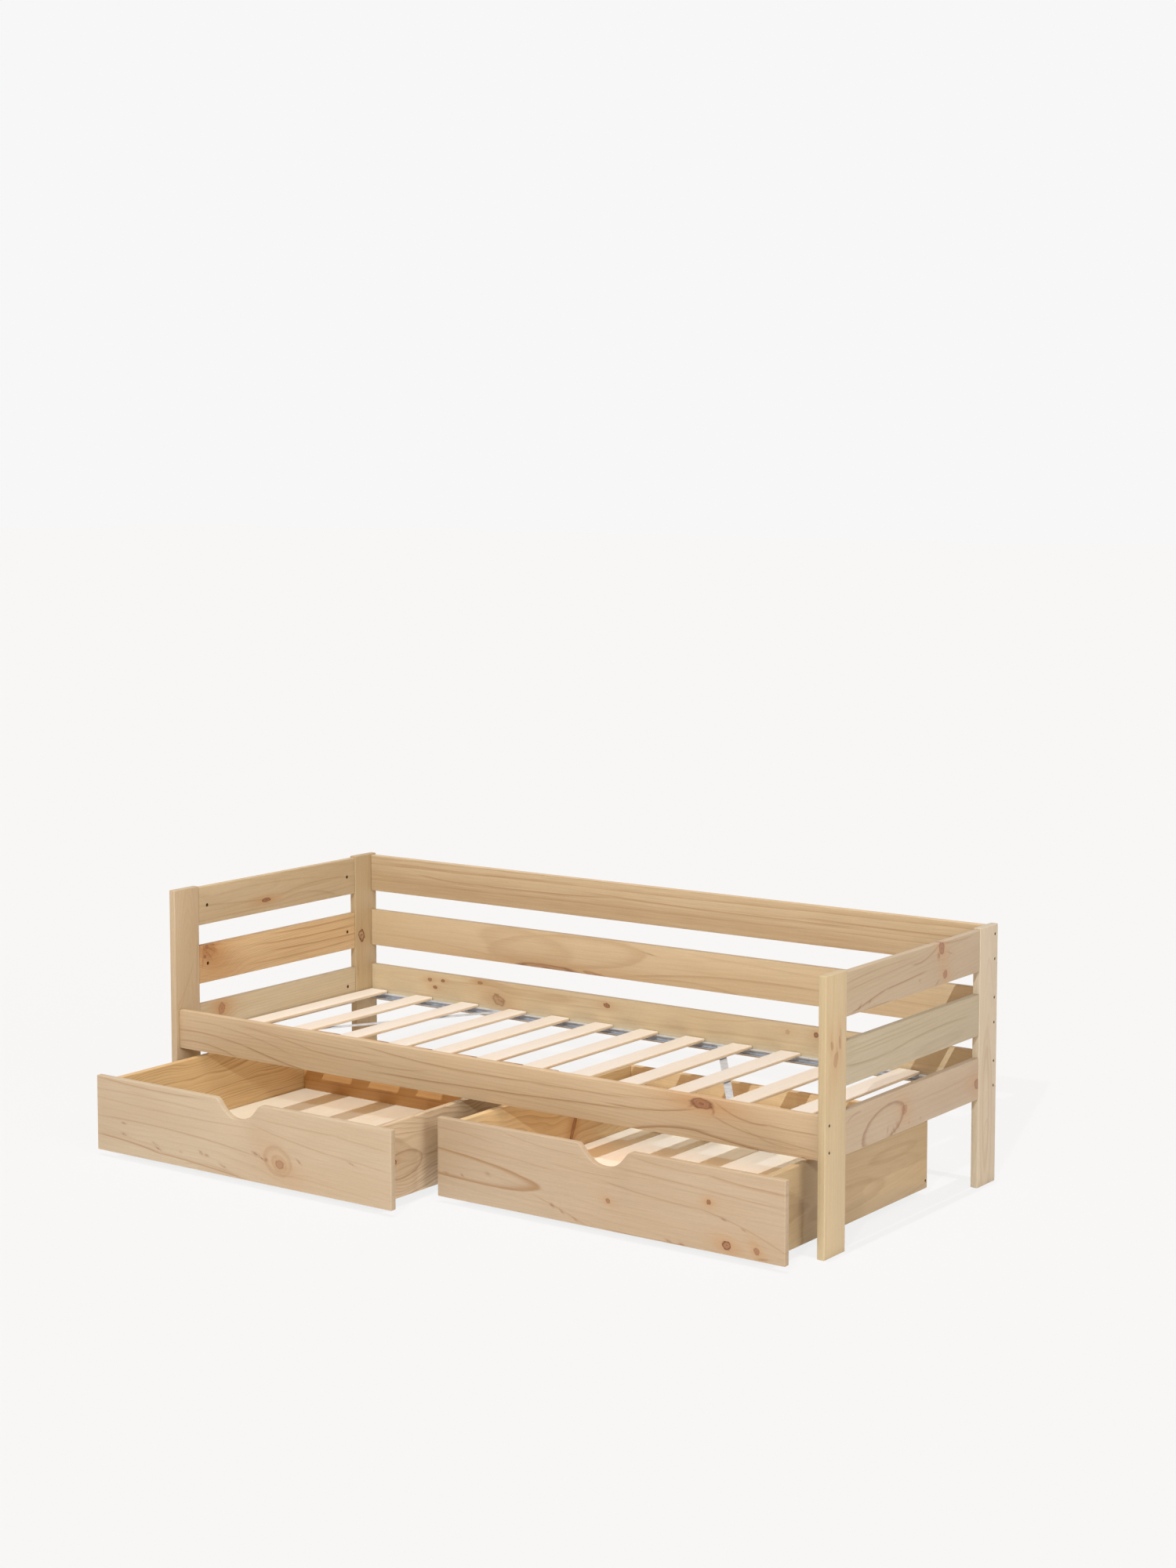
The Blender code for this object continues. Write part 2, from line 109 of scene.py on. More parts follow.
def power(name, description, default, high=10):
    """A strength that can be changed."""
    return bpy.props.FloatProperty(name=name, description=description, default=default,
                                   min=0, max=high)


class BoardSizes(bpy.types.PropertyGroup):
    """Sizes of the sawn and planed wood."""

    rounding: length("Edge rounding", "Radius along the edges of the boards",
                     0.0022, 0.0002, 0.004)
    slat_rounding: length("Slat rounding", "Radius along the edges of the slats",
                          0.0034, 0.0002, 0.0044)
    shoulder: length("Scoop shoulder", "How far the scoop's shoulders are rounded over",
                     0.020, 0.002, 0.040)
    steps: bpy.props.IntProperty(
        name="Rounding steps", description="Faces across each rounded edge",
        default=3, min=1, max=8)


class WoodColours(bpy.types.PropertyGroup):
    """Colours that all the pine pieces share."""

    knot_heart: tint("Knot heart", "Colour inside a knot", *paint(150, 98, 66))
    knot_rim: tint("Knot rim", "Dark line round a knot", *paint(110, 60, 34))
    dash: tint("Resin dash", "Colour of the small resin dashes in the grain",
               *paint(136, 76, 36))
    resin: tint("Resin", "Warm wood near a knot", *paint(190, 140, 88))
    slat: tint("Slat", "Pale colour of the slats", *paint(236, 231, 224))
    panel: tint("Drawer floor", "Pale colour of the left drawer's floor", *paint(231, 231, 220))
    # Painted light: the right drawer's floor is the same pale board as the left's, painted lighter
    # to stand in for lamp light that reaches it too weakly
    panel_right_painted_light: tint("Right drawer floor", "Colour of the right drawer's whiter floor",
                      *paint(240, 243, 240))


class FasteningSizes(bpy.types.PropertyGroup):
    """Sizes and colours of the screws, barrel nuts and rivets."""

    screw_radius: length("Screw head radius", "Radius of a wood screw's head",
                         0.0037, 0.001, 0.006)
    screw_sink: length("Screw sink", "How far a screw's head lies below the wood",
                       0.0008, 0, 0.003)
    nut_radius: length("Nut radius", "Radius of a barrel nut", 0.0047, 0.001, 0.008)
    nut_sink: length("Nut sink", "How far a barrel nut lies below the wood", 0.0010, 0, 0.004)
    rivet_radius: length("Rivet radius", "Radius of the rivets of the steel base",
                         0.0042, 0.001, 0.008)
    dark_steel: tint("Bronzed steel", "Colour of the screws and barrel nuts",
                     *paint(88, 58, 40))
    zinc: tint("Zinc", "Colour of the zinc-plated steel", *paint(219, 227, 237))


class CastorSizes(bpy.types.PropertyGroup):
    """Sizes and colours of the castors under the drawers."""

    tread_rounding: length("Tread rounding", "Radius along the edges of a wheel",
                           0.0024, 0.0005, 0.005)
    hub_radius: length("Hub radius", "Radius of the hub inside a wheel's rim",
                       0.0062, 0.003, 0.01)
    plastic: tint("Wheel plastic", "Colour of the wheels", *paint(58, 58, 60))


class StudioLight(bpy.types.PropertyGroup):
    """Lamps, background and camera."""

    backdrop: power("Backdrop", "Brightness of the background, where 1 is white", 0.930, 1)
    fill: power("Fill", "Strength of the even light from all round", 0.41, 2)
    fill_colour: tint("Fill colour", "Colour of the even light, warm from the pine around",
                      1.0, 0.66, 0.40)
    front_key: power("Front lamp", "Strength of the lamp in front of the bed", 1.36)
    front_colour: tint("Front lamp colour", "Colour of the lamp in front of the bed",
                       0.92, 0.98, 1.0)
    overhead: power("Overhead lamp", "Strength of the lamp above the bed", 1.42)
    side_fill: power("Side lamp", "Strength of the wide lamp at the bed's right", 0.73)
    bounce: bpy.props.FloatVectorProperty(
        name="Bounce lamps", description="Watts of the light that the pine throws back into "
        "the left and the right drawer", size=2, default=(0.21, 0.46), min=0, max=10)
    bounce_colour: tint("Bounce colour", "Colour of the light thrown back by the pine",
                        1.0, 0.46, 0.14)
    camera_place: bpy.props.FloatVectorProperty(
        name="Camera", description="Place of the camera", subtype="TRANSLATION", size=3,
        default=(4.16, -5.5854, 1.8823))
    camera_turn: bpy.props.FloatVectorProperty(
        name="Camera turn", description="Turn left, dip and roll of the camera",
        subtype="EULER", size=3, default=(0.6286, 0.0928, -0.0014))
    camera_lens: bpy.props.FloatProperty(
        name="Lens", description="Focal length of the camera in millimetres",
        default=62.635, min=10, max=300)
    camera_shift: bpy.props.FloatVectorProperty(
        name="Camera shift", description="Sideways and upward shift of the frame", size=2,
        default=(0.015, -0.05691))


# ---------------------------------------------------------------- building nodes


class Nodes:
    """Builds one node tree. A value handed in is a number, a tuple or a socket to link."""

    def __init__(self, tree):
        self.tree = tree

    def feed(self, made, values):
        """Give a node its inputs."""
        for key, value in values.items():
            if isinstance(value, bpy.types.NodeSocket):
                self.tree.links.new(value, made.inputs[key])
            else:
                made.inputs[key].default_value = value

    def put(self, kind, values=None, **settings):
        """Add a node. Returns its outputs."""
        made = self.tree.nodes.new("ShaderNode" + kind)
        for name, value in settings.items():
            setattr(made, name, value)
        self.feed(made, values or {})
        return made.outputs

    def maths(self, operation, *values, clamp=False):
        """A Math node's result."""
        return self.put("Math", dict(enumerate(values)), operation=operation,
                        use_clamp=clamp)[0]

    add = partialmethod(maths, "ADD")
    less = partialmethod(maths, "SUBTRACT")
    times = partialmethod(maths, "MULTIPLY")
    over = partialmethod(maths, "DIVIDE")
    times_add = partialmethod(maths, "MULTIPLY_ADD")
    most = partialmethod(maths, "MAXIMUM")

    def vector(self, operation, *values):
        """A Vector Math node's result, which is a number for a length."""
        made = self.put("VectorMath", dict(enumerate(values)), operation=operation)
        return made["Value" if operation == "LENGTH" else "Vector"]

    def scaled(self, vector, share):
        """A vector times a number."""
        return self.put("VectorMath", {"Vector": vector, "Scale": share},
                        operation="SCALE")["Vector"]

    def split(self, vector):
        """The three parts of a vector."""
        return self.put("SeparateXYZ", {0: vector})

    def gather(self, *parts):
        """A vector made of three parts."""
        return self.put("CombineXYZ", dict(enumerate(parts)))[0]

    def noise(self, vector, scale=1.0, detail=2.0, roughness=0.5):
        """Noise from 0 to 1, around one half."""
        return self.put("TexNoise", {"Vector": vector, "Scale": scale, "Detail": detail,
                                     "Roughness": roughness})[0]

    def ramp(self, value, low, high, start=0.0, end=1.0):
        """A smooth step of a value between two limits."""
        return self.put("MapRange", {0: value, 1: low, 2: high, 3: start, 4: end},
                        interpolation_type="SMOOTHSTEP")[0]

    def mix(self, factor, first, second, kind="MIX"):
        """A mix of two colours."""
        return self.put("Mix", {0: factor, 6: first, 7: second}, data_type="RGBA",
                        blend_type=kind)[2]

    def bell(self, value):
        """A bell curve: 1 where the value is 0, falling away on both sides."""
        return self.maths("EXPONENT", self.times(self.times(value, value), -1.0))

    def sharp_bell(self, value, steeper, slope):
        """A bell curve that falls away more steeply on the side above 0."""
        above = self.maths("GREATER_THAN", value, 0.0)
        return self.bell(self.times(value, self.times_add(above, steeper, slope)))

    def around(self, given):
        """How far a point lies from a mark's middle, in metres and in shares of its size."""
        away = self.vector("SUBTRACT", given["Point"], given["Middle"])
        flat = self.vector("MULTIPLY", away, (1.0, 1.0, 0.0))
        turned = self.put("VectorRotate", {"Vector": flat, "Axis": (0.0, 0.0, 1.0),
                                           "Angle": given["Turn"]},
                          rotation_type="AXIS_ANGLE")[0]
        size = self.gather(given["Length"], given["Breadth"], 1.0)
        return away, self.vector("DIVIDE", turned, size)

    def coat(self, surface, colour, roughness, height, distance, strength):
        """Give a surface its colour, its roughness and its bumps."""
        bump = self.put("Bump", {"Strength": strength, "Distance": distance,
                                 "Height": height})[0]
        self.feed(surface, {"Base Color": colour, "Roughness": roughness, "Normal": bump})


def node_group(title, values, outputs, draw):
    """The node group of that title, drawn when it is first asked for."""
    group = bpy.data.node_groups.get(title)
    if group:
        return group
    group = bpy.data.node_groups.new(title, "ShaderNodeTree")
    for label, value in values.items():
        kind = "Float" if not isinstance(value, tuple) else (
            "Vector" if len(value) == 3 else "Color")
        socket = group.interface.new_socket(name=label, in_out="INPUT",
                                            socket_type="NodeSocket" + kind)
        socket.default_value = value
    for label, kind in outputs.items():
        group.interface.new_socket(name=label, in_out="OUTPUT",
                                   socket_type="NodeSocket" + kind)
    entry = group.nodes.new("NodeGroupInput")
    nodes = Nodes(group)
    nodes.feed(group.nodes.new("NodeGroupOutput"), draw(nodes, entry.outputs))
    return group


# ---------------------------------------------------------------- marks on a board's face


def draw_knot(n, given):
    """A knot: the grain parts round it, its heart is brown and its rim dark."""
    away, share = n.around(given)
    rough = n.noise(n.vector("ADD", share, n.scaled(given["Middle"], 97.0)), 1.1, 3.0)
    reach = n.add(n.vector("LENGTH", share), n.times(n.less(rough, 0.5), 0.9))
    rings = n.maths("SINE", n.times(reach, 15.0))
    heart = n.times(n.ramp(reach, 1.02, 0.80), n.times_add(rings, 0.13, 0.80))
    pith = n.ramp(reach, 0.32, 0.05, 0.0, 0.7)
    rim = n.most(n.bell(n.over(n.less(reach, 0.96), 0.17)), pith)
    long_share = n.vector("MULTIPLY", share, (0.62, 1.0, 1.0))
    resin = n.bell(n.over(n.vector("LENGTH", long_share), 2.6))
    pushed = n.vector("LENGTH", n.vector("MULTIPLY", share, (0.24, 0.42, 1.0)))
    lift = n.times(n.bell(pushed), n.split(away)[1])
    result = {"Shift": n.less(given["Shift"], n.times(lift, given["Parting"]))}
    for label, value in (("Heart", heart), ("Rim", rim), ("Resin", resin)):
        result[label] = n.most(given[label], n.times(value, given[label + " strength"]))
    return result


def draw_dash(n, given):
    """A small dark dash of resin in the grain."""
    share = n.around(given)[1]
    rough = n.noise(n.vector("ADD", share, n.scaled(given["Middle"], 61.0)), 2.3)
    mark = n.times(n.bell(n.vector("LENGTH", share)), n.ramp(rough, 0.35, 0.60, 0.2, 1.0))
    return {"Dash": n.most(given["Dash"], n.times(mark, given["Strength"]))}


def draw_line(n, given):
    """A dark growth line that stands out: a shallow curve, sharp on one side."""
    along, across, _ = n.split(n.vector("SUBTRACT", given["Point"], given["Middle"]))
    curve = n.times(along, n.times_add(along, given["Bow"], given["Slope"]))
    wander = n.noise(n.scaled(n.gather(along, given["Slope"], given["Bow"]), 7.0))
    curve = n.times_add(n.less(wander, 0.5), 0.004, curve)
    off = n.over(n.times(n.less(across, curve), given["Sharp side"]), given["Thickness"])
    fade = n.ramp(n.over(n.maths("ABSOLUTE", along), given["Half length"]), 1.0, 0.55)
    mark = n.times(n.times(n.sharp_bell(off, 2.0, 0.7), fade), given["Strength"])
    return {"Line": n.most(given["Line"], mark)}


def draw_loop(n, given):
    """A growth ring that closes in a long loop on the face of a board."""
    share = n.around(given)[1]
    wander = n.noise(n.scaled(share, 1.3), 1.0, 2.0)
    reach = n.times_add(n.less(wander, 0.5), 0.22, n.vector("LENGTH", share))
    off = n.over(n.times(n.less(reach, 1.0), given["Breadth"]), given["Thickness"])
    mark = n.times(n.sharp_bell(off, 1.5, 0.6), given["Strength"])
    return {"Line": n.most(given["Line"], mark)}


# Each kind of mark: its group's title, what draws it, what a mark hands on to the next one,
# and what the numbers of a mark in LOOKS mean, after its place along and across the board.
# Lengths are in metres and a turn in radians. A line's place across is SLOPE times the way
# along it plus BOW times that way squared.
MARKS = {
    "knots": ("Knot", draw_knot, ("Shift", "Heart", "Rim", "Resin"),
              {"Length": 0.008, "Breadth": 0.006, "Turn": 0.0, "Heart strength": 0.8,
               "Rim strength": 0.8, "Resin strength": 0.4, "Parting": 0.9}),
    "dashes": ("Resin dash", draw_dash, ("Dash",),
               {"Length": 0.008, "Breadth": 0.002, "Turn": 0.0, "Strength": 0.6}),
    "lines": ("Growth line", draw_line, ("Line",),
              {"Half length": 0.2, "Slope": 0.0, "Bow": 0.0, "Thickness": 0.002,
               "Sharp side": 1.0, "Strength": 0.6}),
    "loops": ("Growth loop", draw_loop, ("Line",),
              {"Length": 0.2, "Breadth": 0.03, "Turn": 0.0, "Thickness": 0.002,
               "Strength": 0.6}),
}


# ---------------------------------------------------------------- pine


def draw_pine(n, given):
    """Planed pine: growth rings of a leaning trunk, fibres, flecks, mottle and worn edges."""
    along, across, depth = n.split(given["Point"])
    seed = n.scaled((3.1, 1.7, 2.3), given["Seed"])

    def figure(lengthways, crossways, detail, roughness=0.5):
        """Noise drawn out along the board. The first two numbers are its waves per metre."""
        stretched = n.vector("MULTIPLY", given["Point"], (lengthways, crossways, crossways))
        return n.noise(n.vector("ADD", stretched, seed), 1.0, detail, roughness)

    # The trunk's rings, warped as a real trunk grows
    slow = n.less(figure(1.1, 5.0, 1.0), 0.5)
    quick = n.less(figure(7.0, 22.0, 0.6), 0.5)
    moved = n.less(n.add(across, given["Shift"]), given["Trunk across"])
    below = n.add(depth, given["Trunk depth"])
    radius = n.vector("LENGTH", n.gather(moved, below, 0.0))
    radius = n.times_add(along, given["Lean"], radius)
    radius = n.times_add(slow, n.times(given["Wander"], 4.0), radius)
    radius = n.times_add(quick, given["Ripple"], radius)
    count = n.over(radius, given["Ring width"])
    uneven = n.noise(n.gather(count, given["Seed"], 0.0), 0.31, 1.0)
    count = n.times_add(uneven, 2.4, count)
    phase = n.maths("FRACT", count)
    band = n.times(n.maths("POWER", phase, 2.6), n.ramp(phase, 1.0, 0.90))
    thin = n.maths("FRACT", n.times_add(count, 2.7, uneven))
    thin = n.times(n.maths("POWER", thin, 3.0), n.ramp(thin, 1.0, 0.86))
    year = n.put("TexWhiteNoise", {"W": n.add(n.maths("FLOOR", count), given["Seed"])},
                 noise_dimensions="1D")[0]
    band = n.times(band, n.times_add(year, 0.9, 0.35))
    band = n.times_add(thin, 0.30, band)
    broken = figure(5.0, 30.0, 2.0)
    band = n.times(band, n.ramp(broken, 0.25, 0.65, 0.45, 1.0))
    band = n.times(band, given["Ring strength"], clamp=True)

    # Fibres and resin flecks run along the board
    fibre = figure(9.0, 420.0, 3.0, 0.6)
    fleck = n.times(n.ramp(figure(45.0, 900.0, 1.0), 0.68, 0.80), given["Fleck strength"])
    grit = figure(110.0, 520.0, 2.0, 0.7)

    # Early wood with patches of another tint, warm resin near the knots, and dark rings
    mottle = n.times(n.ramp(figure(2.4, 11.0, 2.0), 0.30, 0.70), given["Mottle"])
    colour = n.mix(mottle, given["Early wood"], given["Tint"])
    colour = n.mix(n.times(given["Resin"], 0.9, clamp=True), colour, given["Resin colour"])
    colour = n.mix(band, colour, given["Late wood"])
    colour = n.mix(n.times(given["Line"], 0.9, clamp=True), colour, given["Late wood"])
    tone = n.times(n.less(fibre, 0.5), given["Fibre strength"])
    tone = n.less(n.times_add(tone, 0.55, 1.0), n.times(fleck, 0.20))
    tone = n.times_add(n.less(grit, 0.5), 0.16, tone)

    # Sawn ends are a little darker, and handled edges a little paler
    ends = n.ramp(n.maths("ABSOLUTE", n.split(given["Normal"])[0]), 0.75, 0.97)
    tone = n.times(tone, n.times_add(ends, -0.10, 1.0))
    inset = n.vector("SUBTRACT", n.vector("ABSOLUTE", given["Point"]), given["Half size"])
    near = [n.ramp(part, -0.0035, -0.0004) for part in n.split(inset)]
    corner = n.most(n.times(near[1], near[2]),
                    n.times(near[0], n.most(near[1], near[2])))
    worn = n.times(corner, n.ramp(broken, 0.30, 0.62, 0.25, 1.0))
    shaded = n.scaled(colour, n.times_add(worn, 0.07, tone))
    for mark, stain in (("Dash", "Dash colour"), ("Heart", "Knot heart"), ("Rim", "Knot rim")):
        shaded = n.mix(given[mark], shaded, given[stain])

    # Rings, knots and worn edges are smoother. The bumps come from the fibres and flecks
    # alone, because a long chain of marks that also feeds the bumps renders black.
    rough = n.times_add(fibre, 0.16, 0.42)
    for part, share in ((band, -0.08), (worn, -0.06), (given["Heart"], -0.10)):
        rough = n.times_add(part, share, rough)
    return {"Colour": shaded, "Roughness": rough,
            "Height": n.times_add(fibre, 0.6, n.times(fleck, -0.5))}


PINE_VALUES = {
    "Point": (0.0, 0.0, 0.0), "Normal": (0.0, 0.0, 1.0), "Half size": (1.0, 0.05, 0.01),
    "Seed": 0.0, "Trunk across": 0.0, "Trunk depth": 0.08, "Lean": 0.0, "Ring width": 0.007,
    "Ring strength": 0.5, "Wander": 0.008, "Ripple": 0.0036, "Fibre strength": 0.5,
    "Fleck strength": 0.5, "Mottle": 0.5, "Early wood": (0.6, 0.45, 0.3, 1.0),
    "Late wood": (0.5, 0.33, 0.2, 1.0), "Tint": (0.6, 0.42, 0.28, 1.0),
    "Knot heart": (0.4, 0.2, 0.1, 1.0), "Knot rim": (0.2, 0.08, 0.03, 1.0),
    "Resin colour": (0.5, 0.3, 0.12, 1.0), "Dash colour": (0.3, 0.09, 0.02, 1.0),
    "Shift": 0.0, "Heart": 0.0, "Rim": 0.0, "Resin": 0.0, "Line": 0.0, "Dash": 0.0,
}

# Which way the grain runs. The rows give the board's length, face and thickness directions.
GRAIN = {
    "x": Matrix(((1, 0, 0), (0, 0, 1), (0, -1, 0))),
    "y": Matrix(((0, 1, 0), (0, 0, 1), (1, 0, 0))),
    "z": Matrix(((0, 0, 1), (0, 1, 0), (-1, 0, 0))),
    "flat": Matrix(((0, 1, 0), (1, 0, 0), (0, 0, -1))),
}


def look(early=(212, 186, 152), late=(180, 142, 102), tint=(204, 172, 136),
         trunk=(0.0, 0.09), lean=0.0, ring=0.0075, strength=0.55, wander=0.006, ripple=0.004,
         fibre=0.5, **marks):
    """One board's look: what the pine group is given, and the marks on the board's face.

    The colours are the early and late wood of the rings and the patches between them. The
    trunk's middle lies across the face and below it, and leans along the board. A ring has a
    width and a strength. Wander and ripple are the long and the short waves of the rings.
    """
    wood = {"Trunk across": trunk[0], "Trunk depth": trunk[1], "Lean": lean,
            "Ring width": ring, "Ring strength": strength, "Wander": wander,
            "Ripple": ripple, "Fibre strength": fibre}
    for label, colour in (("Early wood", early), ("Late wood", late), ("Tint", tint)):
        wood[label] = (*paint(*colour), 1)
    return wood, marks


